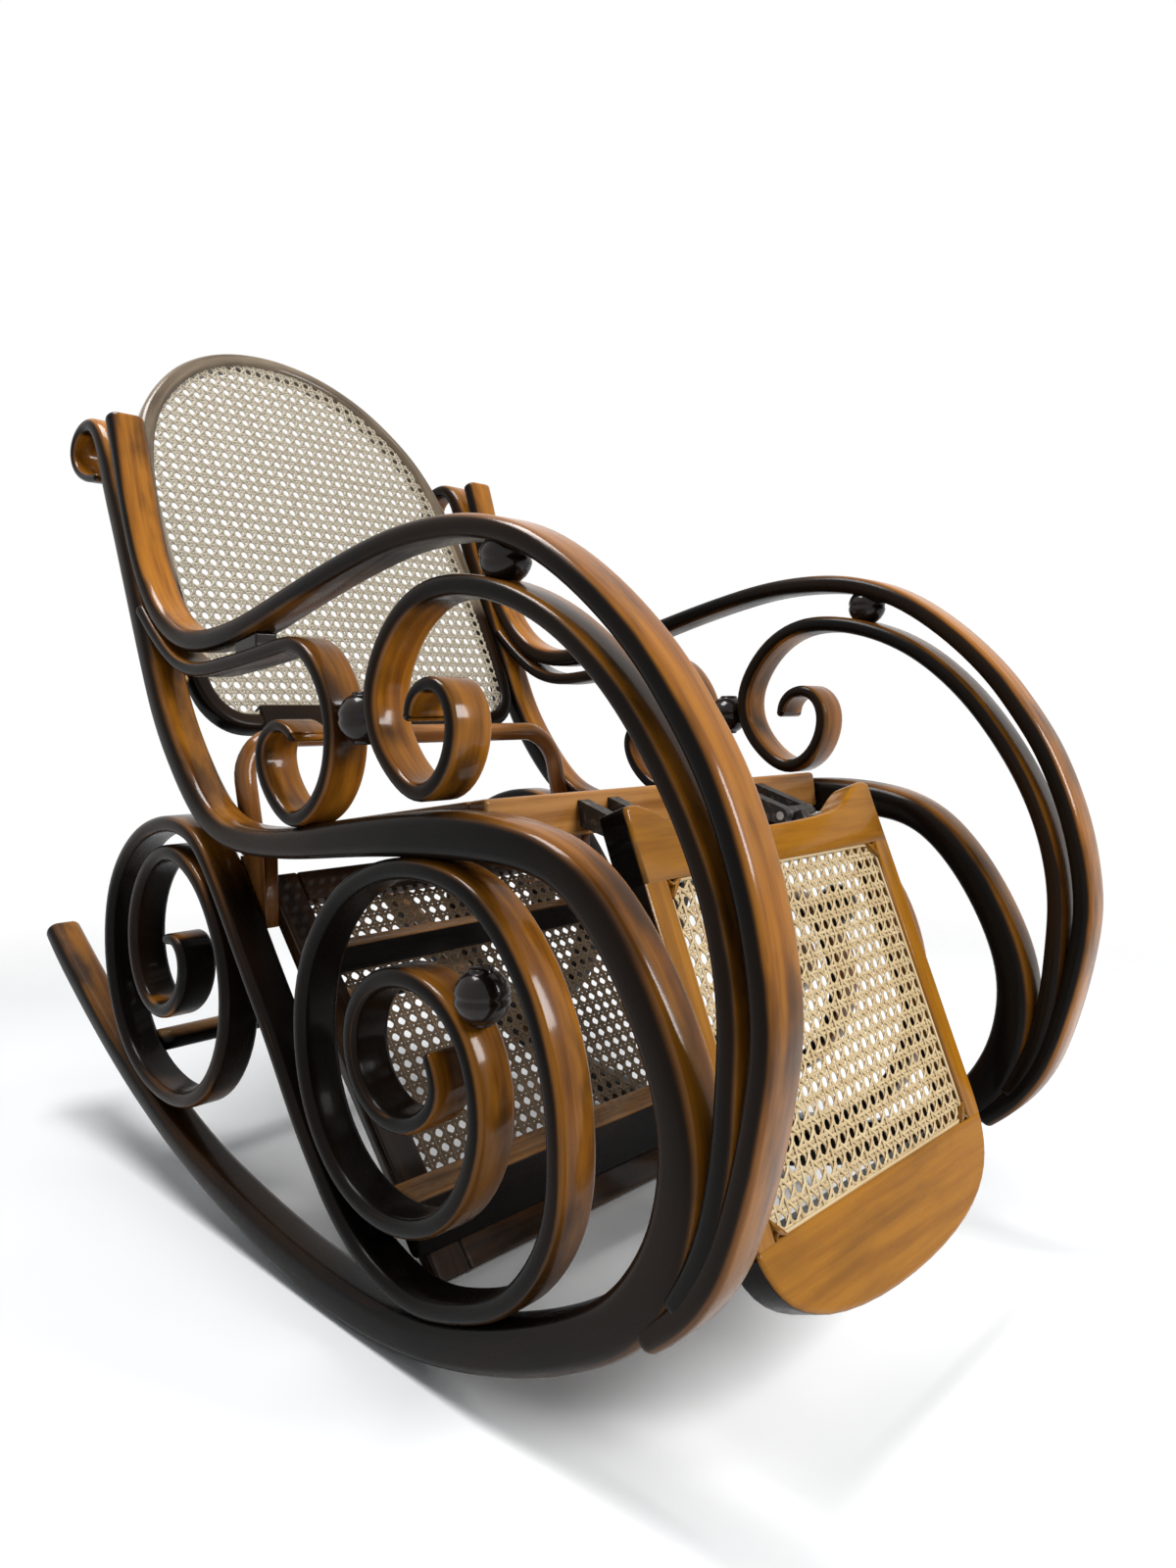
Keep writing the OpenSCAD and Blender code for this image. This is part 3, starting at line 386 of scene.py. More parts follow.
def piece(bm, name, material, body, nodes, place=None, weighted=False):
    """
    makes the object, gives it its finish and body, and hides the CAD nodes it stands for. A mesh
    that was made in a panel's own plane goes to its place first. weighted keeps flat faces flat
    """
    if place is not None:
        bmesh.ops.transform(bm, matrix=place, verts=bm.verts)
    bmesh.ops.recalc_face_normals(bm, faces=bm.faces)
    bm.verts.layers.int.remove(bm.verts.layers.int["place"])
    mesh = bpy.data.meshes.new(name)
    bm.to_mesh(mesh)
    bm.free()
    mesh.shade_smooth()
    mesh.materials.append(material)
    made = bpy.data.objects.new(name, mesh)
    bpy.context.scene.collection.objects.link(made)
    if weighted:
        made.modifiers.new("flat_faces", "WEIGHTED_NORMAL").weight = 80
    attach(made, body)
    if nodes:
        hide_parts(*nodes)


# Painted shade: the stain mask is raised on faces turned away from the way the front light comes,
# and on faces that look into the S scroll.
FRONT_LIGHT_WAY = Vector((0.96, 0, 0.12))
UNLIT_SHADE_LEVEL, UNLIT_SHADE_FALL, HOLLOW_SHADE = 0.78, 1.25, 1.6


def paint_unlit_shade(bm, hollow):
    """paints shade in the stain's near-black on faces that look down or back, away from the front
    light, and on faces that look into a scroll with a given middle
    """
    bmesh.ops.recalc_face_normals(bm, faces=bm.faces)
    side = bm.verts.layers.float["side"]
    for v in bm.verts:
        v.normal_update()
        v[side] = max(v[side], UNLIT_SHADE_LEVEL - UNLIT_SHADE_FALL * v.normal.dot(FRONT_LIGHT_WAY))
        if hollow:
            v[side] = max(v[side], HOLLOW_SHADE * v.normal.dot((hollow - v.co).normalized()))


SCROLL_MIDDLE = Vector((0.195 * FRAME_L, 0, 0.285 * FRAME_H))
BENT_MEMBERS = (
    ("main_member", main_shares, 0.031), ("outer_arm", outer_shares, 0.022),
    ("inner_arm", inner_shares, 0.016), ("rear_scroll", rear_shares, 0.0145),
    ("s_scroll", scroll_shares, 0.0175),
)
for hand, centre_y in (("right", -MID_Y), ("left", MID_Y)):
    for kind, shares, thickness in BENT_MEMBERS:
        bar = new_mesh()
        line = side_view_stations(shares, thickness, centre_y)
        sweep(bar, [domed(line, END_ROUND)], SECTION_SIDES, CORNER, [centre_y])
        if kind == "main_member":
            cut(bar, (0, 0, 0), (0, 0, -1))
        # painted shade on the faces turned from the front light, and in the S scroll's hollow
        paint_unlit_shade(bar, SCROLL_MIDDLE + Vector((0, centre_y, 0)) if kind == "s_scroll" else None)
        piece(bar, f"{hand}_bent_{kind}", bent_wood, "chair", [f"{hand}_{kind}"])

# ---- Arched back ----
# A round-topped frame bent from one bar, tenoned to a straight bottom rail and dowelled between
# the two posts. Its rim is stained a grey brown, nearly black from the arms down.
def leaning(at, lean):
    """a place whose x runs across the chair, y into the panel and z up its slope"""
    return Matrix.Translation(at) @ Matrix.Rotation(-lean, 4, "Y") @ Matrix.Rotation(pi / 2, 4, "Z")


def board(bm, low, high, rounding, shift=0.0):
    """adds a straight board with rounded edges, its grain along its longest side: its vertices"""
    before = set(bm.verts)
    low, high = Vector(low), Vector(high)
    size, middle = high - low, (low + high) / 2
    corners = bmesh.ops.create_cube(bm, size=1)["verts"]
    bmesh.ops.scale(bm, verts=corners, vec=size)
    edges = list({edge for v in corners for edge in v.link_edges})
    bmesh.ops.bevel(bm, geom=edges, offset=rounding, segments=3, affect="EDGES", profile=0.5,
                    material=-1)
    made = [v for v in bm.verts if v not in before]
    lay_grain(bm, made, sorted(range(3), key=lambda axis: -size[axis]), shift)
    bmesh.ops.translate(bm, verts=made, vec=middle)
    return made


def lay_grain(bm, verts, order, shift):
    """runs the grain along the order's first axis; the shift gives each board its own figure"""
    grain = bm.verts.layers.float_vector["grain"]
    for v in verts:
        v[grain] = (v.co[order[0]] + shift, v.co[order[1]] + shift, v.co[order[2]])


BACK_AT = (-0.166 * FRAME_L, 0, 0.599 * FRAME_H)
BACK_LEAN = radians(27.8)
BACK_W = 0.460
BACK_H = 0.556
BACK_T = 0.025
BACK_RIM = 0.020
BACK_RIM_CORNER = 0.007
BACK_RAIL_BELOW, BACK_RAIL_ABOVE = 0.010, 0.020
back_place = leaning(BACK_AT, BACK_LEAN)
half_back_shares = [
    (0.36, 0.028), (0.4, 0.028), (0.44, 0.038), (0.48, 0.072), (0.495, 0.125), (0.5, 0.22),
    (0.5, 0.33), (0.5, 0.45), (0.495, 0.55), (0.477, 0.65), (0.45, 0.725), (0.423, 0.776),
    (0.384, 0.826), (0.325, 0.883), (0.265, 0.924), (0.184, 0.962), (0.09, 0.985), (0, 0.992),
]
back_shares = [(-x, z) for x, z in half_back_shares] + half_back_shares[-2::-1]
back_stops = [Vector((x * (BACK_W - BACK_RIM), 0, z * BACK_H - BACK_RIM / 2))
              for x, z in back_shares]
back_curve = bend(back_stops, 4)

RIM_BLACK_UP_TO, RIM_PALE_FROM = 0.14, 0.24
rim_wood = wood("back_rim_wood", (0.19, 0.145, 0.10), (0.09, 0.065, 0.042), 1.0, 0.3)
hoop = new_mesh()
hoop_line = flat_stations(back_curve, BACK_T / 2, BACK_T / 2, BACK_RIM / 2)
sweep(hoop, [hoop_line], SECTION_SIDES, BACK_RIM_CORNER)
hoop_side = hoop.verts.layers.float["side"]
for v in hoop.verts:
    low_down = (RIM_PALE_FROM - v.co.z) / (RIM_PALE_FROM - RIM_BLACK_UP_TO)
    v[hoop_side] = max(v[hoop_side] / 2, min(max(low_down, 0), 1))
piece(hoop, "arched_back_rim", rim_wood, "chair", ["back_hoop"], back_place)

rail = new_mesh()
end = back_stops[0]
board(rail, (end.x, 0, end.z - BACK_RAIL_BELOW), (-end.x, BACK_T, end.z + BACK_RAIL_ABOVE), 0.003)
for v in rail.verts:
    v[rail.verts.layers.float["side"]] = 1
piece(rail, "back_lower_rail", rim_wood, "chair", ["back_bottom_rail"], back_place,
      weighted=True)

# ---- Cane of the back ----
# Split rattan in the six-way pattern: pairs of strands up and across and one each way on the
# slant between them, which leaves eight-sided holes. The sheet is pressed into a groove.
CANE_ACROSS = 0.0141
CANE_UP = 0.0146
PAIR = 0.0019
STRAND = 0.0013
THIN = 0.0003
CORNER_TO_SIDE = 2 ** 0.5  # a four-sided section's corners, in half sides
LEVEL = 0.0004
UP_LIFT, ACROSS_LIFT, SLANT_LIFT = 0.00025, 0.0003, 0.0008
SHORTEST = 0.004
FAR_OFF = 9.0
CANE_DEPTH = 0.0045
KNOT_COLOUR = (0.16, 0.09, 0.04, 1)

cane_weave, cane_in, cane_out = effect(
    "cane_strand",
    [("Strand", "Color", (0.6, 0.5, 0.36, 1)), ("Aged", "Color", (0.4, 0.26, 0.12, 1)),
     ("Ageing", "Float", 0.5)],
    [("Color", "Color"), ("Roughness", "Float"), ("Height", "Float")])
along = node(cane_weave, "Attribute", attribute_name="grain").outputs["Vector"]
each = ranged(cane_weave, streaks(cane_weave, along, (6, 900, 900), 2.0), 0.35, 0.68)
fibre = streaks(cane_weave, along, (60, 5200, 5200), 2.0)
knots = ranged(cane_weave, streaks(cane_weave, along, (26, 400, 400), 1.0), 0.66, 0.8)
age = maths(cane_weave, "MULTIPLY", each, cane_in.outputs["Ageing"])
tone = blend(cane_weave, age, cane_in.outputs["Strand"], cane_in.outputs["Aged"])
tone = blend(cane_weave, maths(cane_weave, "MULTIPLY", knots, 0.4), tone, KNOT_COLOUR)
tone = blend(cane_weave, maths(cane_weave, "MULTIPLY", fibre, 0.5), tone, cane_in.outputs["Aged"])
cane_weave.links.new(tone, cane_out.inputs["Color"])
rough = ranged(cane_weave, fibre, 0.3, 0.7, 0.32, 0.55)
cane_weave.links.new(rough, cane_out.inputs["Roughness"])
cane_weave.links.new(fibre, cane_out.inputs["Height"])


def cane(name, strand_colour, aged, ageing):
    """a cane finish from its fresh and aged colours"""
    values = {"Strand": (*strand_colour, 1), "Aged": (*aged, 1), "Ageing": ageing}
    return finish(name, cane_weave, values, 0.3, Specular_IOR_Level=0.45)


def within(outline, start, heading):
    """how far a line runs inside a convex outline, as (first, last) or None"""
    first, last = -FAR_OFF, FAR_OFF
    for i, corner in enumerate(outline):
        edge = outline[(i + 1) % len(outline)] - corner
        outward = Vector((edge.z, 0, -edge.x))
        rate, gap = heading.dot(outward), (corner - start).dot(outward)
        if abs(rate) < 1e-12:
            if gap < 0:
                return None
        elif rate > 0:
            last = min(last, gap / rate)
        else:
            first = max(first, gap / rate)
    return (first, last) if last - first > SHORTEST else None


def strand(outline, start, heading, spacing, phase, lift):
    """one ribbon's stations, ended at the outline, rising and falling from crossing to crossing"""
    reach = within(outline, start, heading)
    if reach is None:
        return []
    crossings = range(int(reach[0] // spacing) + 1, int(reach[1] // spacing) + 1)
    marks = [(k * spacing, lift if (k + phase) % 2 else -lift) for k in crossings]
    aside = Vector((-heading.z, 0, heading.x)) * STRAND * CORNER_TO_SIDE
    thick = Vector((0, THIN * CORNER_TO_SIDE, 0))
    marks = [(reach[0], 0.0)] + marks + [(reach[1], 0.0)]
    return [[(start + heading * run + Vector((0, up, 0)), aside, thick) for run, up in marks]]


def weave(bm, outline):
    """fills a convex outline in a panel's own plane with six-way cane, each strand a flat ribbon"""
    low_x, high_x = min(p.x for p in outline), max(p.x for p in outline)
    low_z, high_z = min(p.z for p in outline), max(p.z for p in outline)
    columns = range(int(low_x // CANE_ACROSS), int(high_x // CANE_ACROSS) + 2)
    rows = range(int(low_z // CANE_UP), int(high_z // CANE_UP) + 2)
    strands = []
    for aside, level in ((-PAIR, LEVEL), (PAIR, -LEVEL)):
        for i in columns:
            start = Vector((i * CANE_ACROSS + aside, level, 0))
            strands += strand(outline, start, Vector((0, 0, 1)), CANE_UP, i, UP_LIFT)
        for j in rows:
            start = Vector((0, 0, j * CANE_UP + aside))
            phase = j + (aside > 0)
            strands += strand(outline, start, Vector((1, 0, 0)), CANE_ACROSS, phase, ACROSS_LIFT)
    slant = Vector((CANE_ACROSS, 0, CANE_UP)) / 2
    span = columns.stop - columns.start + rows.stop - rows.start
    for k in range(-span, span):
        for turned in (1, -1):
            start = Vector((turned * (k + 0.5) * CANE_ACROSS, 0, 0))
            heading = Vector((turned * slant.x, 0, slant.z)).normalized()
            strands += strand(outline, start, heading, slant.length, turned > 0, SLANT_LIFT)
    sweep(bm, strands, 4, starts=[0.37 * number for number in range(len(strands))])


def cane_sheet(name, outline, depth, place, material, node_name, body):
    """a woven sheet at a depth behind a panel's face"""
    sheet = new_mesh()
    weave(sheet, outline)
    bmesh.ops.translate(sheet, verts=sheet.verts, vec=(0, depth, 0))
    piece(sheet, name, material, body, [node_name], place)


back_cane = cane("pale_cane", (0.38, 0.34, 0.265), (0.19, 0.15, 0.095), 0.75)
back_outline = back_stops[2:-2][::-1]
cane_sheet("back_cane_sheet", back_outline, CANE_DEPTH, back_place, back_cane, "back_cane", "chair")

# ---- Seat ----
# A flat frame of four rails between the side bars, a little lower at the back. Its front rail is
# deeper and paler, and its cane sheet is set flush with the top.
SEAT_TOP = 0.4635
SEAT_AT = (0.242 * FRAME_L, 0, SEAT_TOP)
SEAT_FALL = radians(8.8)
SEAT_L = 0.388
SEAT_RAIL_W = 0.042
SEAT_RAIL_T = 0.022
SEAT_FRONT_T = 0.036
SEAT_CANE_DEPTH = 0.0016
GROOVE = 0.002
INNER_Y = 0.230
seat_place = Matrix.Translation(SEAT_AT) @ Matrix.Rotation(-SEAT_FALL, 4, "Y")
LAID_FLAT = Matrix(((0, 0, 1, 0), (-1, 0, 0, 0), (0, -1, 0, 0), (0, 0, 0, 1)))

seat_wood = wood("seat_rail_wood", (0.27, 0.11, 0.03), (0.14, 0.05, 0.012), 0.0, 0.4)
front_wood = wood("seat_front_wood", (0.34, 0.155, 0.042), (0.20, 0.078, 0.016), 0.0, 0.25)
front = new_mesh()
board(front, (-SEAT_RAIL_T, -INNER_Y, -SEAT_FRONT_T), (0, INNER_Y, 0), 0.004, 0.3)
piece(front, "seat_front_board", front_wood, "chair", ["seat_front_rail"], seat_place,
      weighted=True)

rails = new_mesh()
for low_y, shift in ((-INNER_Y, 1.1), (INNER_Y - SEAT_RAIL_W, 2.3)):
    low = (-SEAT_L, low_y, -SEAT_RAIL_T)
    board(rails, low, (-SEAT_RAIL_T, low_y + SEAT_RAIL_W, 0), 0.003, shift)
piece(rails, "seat_side_boards", seat_wood, "chair", ["seat_side_rails"], seat_place,
      weighted=True)

rear = new_mesh()
between_rails = INNER_Y - SEAT_RAIL_W
low = (-SEAT_L, -between_rails, -SEAT_RAIL_T)
board(rear, low, (SEAT_RAIL_W - SEAT_L, between_rails, 0), 0.003, 3.7)
piece(rear, "seat_rear_board", seat_wood, "chair", ["seat_rear_rail"], seat_place,
      weighted=True)


def corners(x0, x1, z0, z1):
    """a rectangle's corners in a panel's own plane"""
    return [Vector((x0, 0, z0)), Vector((x1, 0, z0)), Vector((x1, 0, z1)), Vector((x0, 0, z1))]


# This cane is darker than the back's as painted shade for the cane that lies under the seat.
seat_cane = cane("tan_cane", (0.20, 0.13, 0.07), (0.09, 0.05, 0.022), 0.7)
half_seat = between_rails + GROOVE
seat_outline = corners(-half_seat, half_seat, SEAT_RAIL_W - SEAT_L - GROOVE, GROOVE - SEAT_RAIL_T)
cane_sheet("seat_cane_sheet", seat_outline, SEAT_CANE_DEPTH, seat_place @ LAID_FLAT, seat_cane,
           "seat_cane", "chair")

# ---- Rear hoop ----
# A round rod bent into a low hoop that leans a little. It stands on the seat's side rails, behind
# the sitter, and its feet are cut off level with the seat.
ROD_R = 0.011
HOOP_H = 0.098
HOOP_BEND = 0.045
hoop_x = -0.095 * FRAME_L
hoop_at = Vector((hoop_x, 0, SEAT_TOP - (SEAT_AT[0] - hoop_x) * tan(SEAT_FALL)))
hoop_place = leaning(hoop_at, atan2(2 * ROD_R, HOOP_H))
leg = INNER_Y - ROD_R
turn_at = Vector((leg - HOOP_BEND, 0, HOOP_H - HOOP_BEND))
quarter = [turn_at + HOOP_BEND * Vector((cos(radians(a)), 0, sin(radians(a))))
           for a in range(0, 91, 10)]
half_rod = [Vector((leg, 0, -2 * ROD_R))] + quarter
rod_curve = half_rod + [Vector((-stop.x, 0, stop.z)) for stop in half_rod[::-1]]
rod = new_mesh()
sweep(rod, [flat_stations(rod_curve, 0, ROD_R, ROD_R)], 20)
bmesh.ops.transform(rod, matrix=hoop_place, verts=rod.verts)
cut(rod, SEAT_AT, seat_place.to_3x3() @ Vector((0, 0, -1)))
piece(rod, "rear_hoop_rod", seat_wood, "chair", ["rear_hoop"])

# ---- Caned panel under the seat ----
# A thin caned frame that slopes down and forward from two boards under the seat's rear to the
# lower crossbar.
UNDER_AT = Vector((-0.09 * FRAME_L, 0, 0.411 * FRAME_H))
UNDER_SLOPE = radians(49.1)
UNDER_L = 0.422
HANGER_T = 0.015
HANGER_W = 0.050
UNDER_W = 2 * (INNER_Y - HANGER_T)
UNDER_T = 0.018
UNDER_RAIL = 0.034
under_place = Matrix.Translation(UNDER_AT) @ Matrix.Rotation(UNDER_SLOPE, 4, "Y")
half_under = UNDER_W / 2
half_open = half_under - UNDER_RAIL
foot_x = UNDER_L - UNDER_RAIL

panel_wood = wood("dark_panel_wood", (0.05, 0.022, 0.009), (0.018, 0.009, 0.005), 0.0, 0.8)
hangers = new_mesh()
hanger_x = UNDER_AT.x - HANGER_W / 4
for low_y in (-INNER_Y, half_under):
    high = (hanger_x + HANGER_W, low_y + HANGER_T, SEAT_TOP)
    board(hangers, (hanger_x, low_y, UNDER_AT.z - HANGER_W * 3 / 4), high, 0.002, low_y)
cut(hangers, seat_place @ Vector((0, 0, -SEAT_RAIL_T)), seat_place.to_3x3() @ Vector((0, 0, 1)))
cut(hangers, (hanger_x, 0, UNDER_AT.z), (-HANGER_W * 3 / 4, 0, -HANGER_W / 2))
piece(hangers, "under_panel_hangers", seat_wood, "chair", ["panel_hangers"],
      weighted=True)

for name, node_name, boxes in (
    ("under_panel_top", "under_top_rail", [(0, UNDER_RAIL, -half_open, half_open)]),
    ("under_panel_foot", "under_foot_rail", [(foot_x, UNDER_L, -half_open, half_open)]),
    ("under_panel_sides", "under_side_rails",
     [(0, UNDER_L, -half_under, -half_open), (0, UNDER_L, half_open, half_under)]),
):
    frame_part = new_mesh()
    for x0, x1, y0, y1 in boxes:
        board(frame_part, (x0, y0, 0), (x1, y1, UNDER_T), 0.003, x0 + y0)
    piece(frame_part, name, panel_wood, "chair", [node_name], under_place,
          weighted=True)
half_sheet = half_open + GROOVE
under_outline = corners(-half_sheet, half_sheet, UNDER_RAIL - GROOVE, foot_x + GROOVE)
cane_sheet("under_panel_cane", under_outline, -UNDER_T / 2, under_place @ LAID_FLAT, seat_cane,
           "under_cane", "chair")

# ---- Cross pieces ----
# Three bars tie the two sides together: a flat one low at the front, a square one under the seat
# and a round one at the back. Each is let into the side scrolls on dowels.
BAR_AT = Vector((0.15 * FRAME_L, 0, 0.108 * FRAME_H))
BAR_H = 0.053
BAR_T = 0.020
SQUARE_AT = Vector((0.044 * FRAME_L, 0, 0.355 * FRAME_H))
SQUARE_T = 0.026
STRETCH_AT = Vector((-0.283 * FRAME_L, 0, 0.171 * FRAME_H))
STRETCH_R = 0.013


def paint_shade_below_tops(bm):
    """paints shade in the black stain on all but the top of a bar, whose honey top stands for the
    light from above
    """
    bmesh.ops.recalc_face_normals(bm, faces=bm.faces)
    side = bm.verts.layers.float["side"]
    for v in bm.verts:
        v.normal_update()
        v[side] = 1 - v.normal.z


# All but the tops of the cross pieces carry painted shade in the stain's near-black.
cross_wood = wood("cross_piece_wood", (0.34, 0.17, 0.065), (0.16, 0.07, 0.022), 1.0, 0.45)
bar = new_mesh()
low = (BAR_AT.x - BAR_T * 1.5, -INNER_Y, BAR_AT.z - BAR_H / 2)
board(bar, low, (BAR_AT.x + BAR_T / 2, INNER_Y, BAR_AT.z + BAR_H / 2), 0.004, 5.1)
cut(bar, under_place @ Vector((0, 0, UNDER_T)), under_place.to_3x3() @ Vector((0, 0, -1)))
paint_shade_below_tops(bar)
piece(bar, "front_crossbar", cross_wood, "chair", ["lower_crossbar"], weighted=True)

square = new_mesh()
reach = Vector((SQUARE_T / 2, INNER_Y, SQUARE_T / 2))
board(square, SQUARE_AT - reach, SQUARE_AT + reach, 0.003, 6.2)
paint_shade_below_tops(square)
piece(square, "square_cross_bar", cross_wood, "chair", ["square_stretcher"],
      weighted=True)

round_bar = new_mesh()
near_end = INNER_Y - 0.02
stops = [STRETCH_AT + Vector((0, y, 0)) for y in (-INNER_Y, -near_end, 0, near_end, INNER_Y)]
wide, thick = Vector((STRETCH_R, 0, 0)), Vector((0, 0, STRETCH_R))
sweep(round_bar, [[(stop, wide, thick) for stop in stops]], SECTION_SIDES)
paint_shade_below_tops(round_bar)
piece(round_bar, "round_cross_bar", cross_wood, "chair", ["rear_stretcher"])

# ---- Turned balls and blocks ----
# Dark turned beads hold the bent bars apart where they pass each other, and a small block lies
# under each armrest.
BALLS = (
    ("arm_bead", "arm_balls", (0.285, 0.743), 0.038),
    ("scroll_bead", "scroll_balls", (0.127, 0.611), 0.044),
    ("spiral_bead", "spiral_balls", (0.259, 0.373), 0.044),
)
half_bead_shares = [(0, 1), (0.38, 0.985), (0.44, 0.93), (0.43, 0.88), (0.55, 0.83), (0.75, 0.66),
                    (0.9, 0.43), (0.97, 0.24), (0.985, 0.12), (0.955, 0.07), (0.955, 0)]
bead_shares = half_bead_shares + [(x, -z) for x, z in half_bead_shares[-2::-1]]
BEAD_SIDES = 40
bead_wood = wood("turned_bead_wood", (0.014, 0.008, 0.006), (0.009, 0.006, 0.005), 0.0, 0.2,
                 polish=0.5)
for name, node_name, share, across in BALLS:
    beads = new_mesh()
    for centre_y in (-MID_Y, MID_Y):
        before = set(beads.verts)
        profile = [beads.verts.new((x * across / 2, 0, z * across / 2)) for x, z in bead_shares]
        edges = [beads.edges.new(pair) for pair in zip(profile, profile[1:])]
        bmesh.ops.spin(beads, geom=profile + edges, axis=(0, 0, 1), cent=(0, 0, 0),
                       steps=BEAD_SIDES, angle=2 * pi, use_merge=True)
        turned = [v for v in beads.verts if v not in before]
        bmesh.ops.remove_doubles(beads, verts=turned, dist=1e-6)
        turned = [v for v in beads.verts if v not in before]
        lay_grain(beads, turned, (2, 0, 1), centre_y)
        at = (share[0] * FRAME_L, centre_y, share[1] * FRAME_H)
        bmesh.ops.translate(beads, verts=turned, vec=at)
    piece(beads, name, bead_wood, "chair", [node_name])

ARM_BLOCK_REAR = -0.021 * FRAME_L - 0.030
ARM_BLOCK_LOW = 0.692 * FRAME_H - 0.0115
ARM_BLOCK_L = 0.040
ARM_BLOCK_HALF_W = 0.011
ARM_BLOCK_T = 0.0118
LOWER_SLOPE, UPPER_SLOPE = 0.115, 0.20  # of the scroll under the block and of the arm over it
# The blocks take the beads' near-black as painted shade for the shadowed gap between the arm and
# the scroll.
blocks = new_mesh()
for centre_y in (-MID_Y, MID_Y):
    low = Vector((ARM_BLOCK_REAR, centre_y - ARM_BLOCK_HALF_W, ARM_BLOCK_LOW))
    size = Vector((ARM_BLOCK_L, 2 * ARM_BLOCK_HALF_W, ARM_BLOCK_T))
    for v in board(blocks, low, low + size, 0.002, 3.1):
        share_up = (v.co.z - ARM_BLOCK_LOW) / ARM_BLOCK_T
        slope = LOWER_SLOPE + (UPPER_SLOPE - LOWER_SLOPE) * share_up
        v.co.z += slope * (v.co.x - ARM_BLOCK_REAR)
piece(blocks, "arm_block", bead_wood, "chair", ["arm_blocks"], weighted=True)

# ---- Leg rest ----
# A golden frame with a scooped top and a rounded foot, black round its edges and behind, with its
# cane let in behind the face. It hangs from two iron hinges behind its top rail.
LEG_AT = (0.325 * FRAME_L, 0, SEAT_TOP)
LEG_LEAN = radians(22.2)
LEG_W = 0.354
LEG_L = 0.400
LEG_T = 0.030
LEG_STILE = 0.025
LEG_TOP, LEG_LOW = -0.062, -0.322
LEG_ROUND = 0.004
SCOOP_SHARE = 0.46
LIP = 0.003
half_top_shares = [(0.5, -0.012), (0.47, 0), (0.42, -0.014), (0.37, -0.037), (0.33, -0.06),
                   (0.2, -0.074), (0, -0.08)]
half_foot_shares = [(0.5, -0.77), (0.496, -0.82), (0.475, -0.87), (0.435, -0.915), (0.37, -0.95),
                    (0.28, -0.976), (0.15, -0.995), (0, -1)]
leg_place = leaning(LEG_AT, LEG_LEAN)
golden_wood = wood("golden_wood", (0.27, 0.108, 0.007), (0.195, 0.073, 0.005), 1.0, 0.25,
                   polish=0.3)


def leg_edge(half_shares):
    """a whole edge of the leg rest from one half's table, from the sitter's right to the left"""
    shares = [(-x, z) for x, z in half_shares] + half_shares[-2::-1]
    return bend([Vector((x * LEG_W, 0, z * LEG_L)) for x, z in shares], 2)


def slab(bm, line):
    """adds a flat shape as thick as the leg rest"""
    face = bmesh.ops.contextual_create(bm, geom=[bm.verts.new(stop) for stop in line])["faces"]
    grown = bmesh.ops.extrude_face_region(bm, geom=face)["geom"]
    far = [part for part in grown if isinstance(part, bmesh.types.BMVert)]
    bmesh.ops.translate(bm, verts=far, vec=(0, LEG_T, 0))


def whole_leg():
    """the leg rest's whole outline with rounded edges, before it is cut into its boards"""
    whole = new_mesh()
    slab(whole, leg_edge(half_top_shares) + leg_edge(half_foot_shares)[::-1])
    rims = [edge for edge in whole.edges if abs(edge.verts[0].co.y - edge.verts[1].co.y) < 1e-6]
    bmesh.ops.bevel(whole, geom=rims, offset=LEG_ROUND, segments=4, affect="EDGES", profile=0.5,
                    material=-1)
    side = whole.verts.layers.float["side"]
    for v in whole.verts:
        in_scoop = (v.co.z > LEG_TOP and abs(v.co.x) < SCOOP_SHARE * LEG_W
                    and v.co.y < LEG_T - LEG_ROUND / 2)
        v[side] = 0 if in_scoop else min(v.co.y / LEG_ROUND, 1)
    return whole


for name, node_name, level, outward, shift in (
    ("leg_rest_top", "leg_top_rail", LEG_TOP, (0, 0, -1), 7.3),
    ("leg_rest_foot", "leg_foot_board", LEG_LOW, (0, 0, 1), 8.9),
):
    end_board = whole_leg()
    cut(end_board, (0, 0, level), outward)
    lay_grain(end_board, end_board.verts, (0, 2, 1), shift)
    piece(end_board, name, golden_wood, "leg_rest", [node_name], leg_place,
          weighted=True)

stiles = whole_leg()
fillet = LEG_STILE * 0.6
inner = LEG_W / 2 - LEG_STILE
cut(stiles, (0, 0, LEG_TOP), (0, 0, 1))
cut(stiles, (0, 0, LEG_LOW), (0, 0, -1))
for hand in (-1, 1):
    every = stiles.verts[:] + stiles.edges[:] + stiles.faces[:]
    bmesh.ops.bisect_plane(stiles, geom=every, plane_co=(hand * inner, 0, 0), plane_no=(1, 0, 0))
between = [face for face in stiles.faces if abs(face.calc_center_median().x) < inner - 1e-5]
bmesh.ops.delete(stiles, geom=between, context="FACES")
bmesh.ops.holes_fill(stiles, edges=[edge for edge in stiles.edges if edge.is_boundary], sides=0)
lips = [edge for edge in stiles.edges
        if all(abs(abs(v.co.x) - inner) < 1e-5 and v.co.y < 1e-6 for v in edge.verts)]
bmesh.ops.bevel(stiles, geom=lips, offset=LIP, segments=3, affect="EDGES", profile=0.5, material=-1)
for x in (-1, 1):
    for z, turned in ((LEG_TOP, 1), (LEG_LOW, -1)):
        arc = [Vector((x * (inner - fillet + fillet * sin(radians(a))), 0,
                       z + turned * (fillet * cos(radians(a)) - fillet)))
               for a in range(0, 91, 10)]
        slab(stiles, arc + [Vector((x * inner, 0, z))])
lay_grain(stiles, stiles.verts, (2, 0, 1), 9.7)
piece(stiles, "leg_rest_stiles", golden_wood, "leg_rest", ["leg_stiles"], leg_place,
      weighted=True)

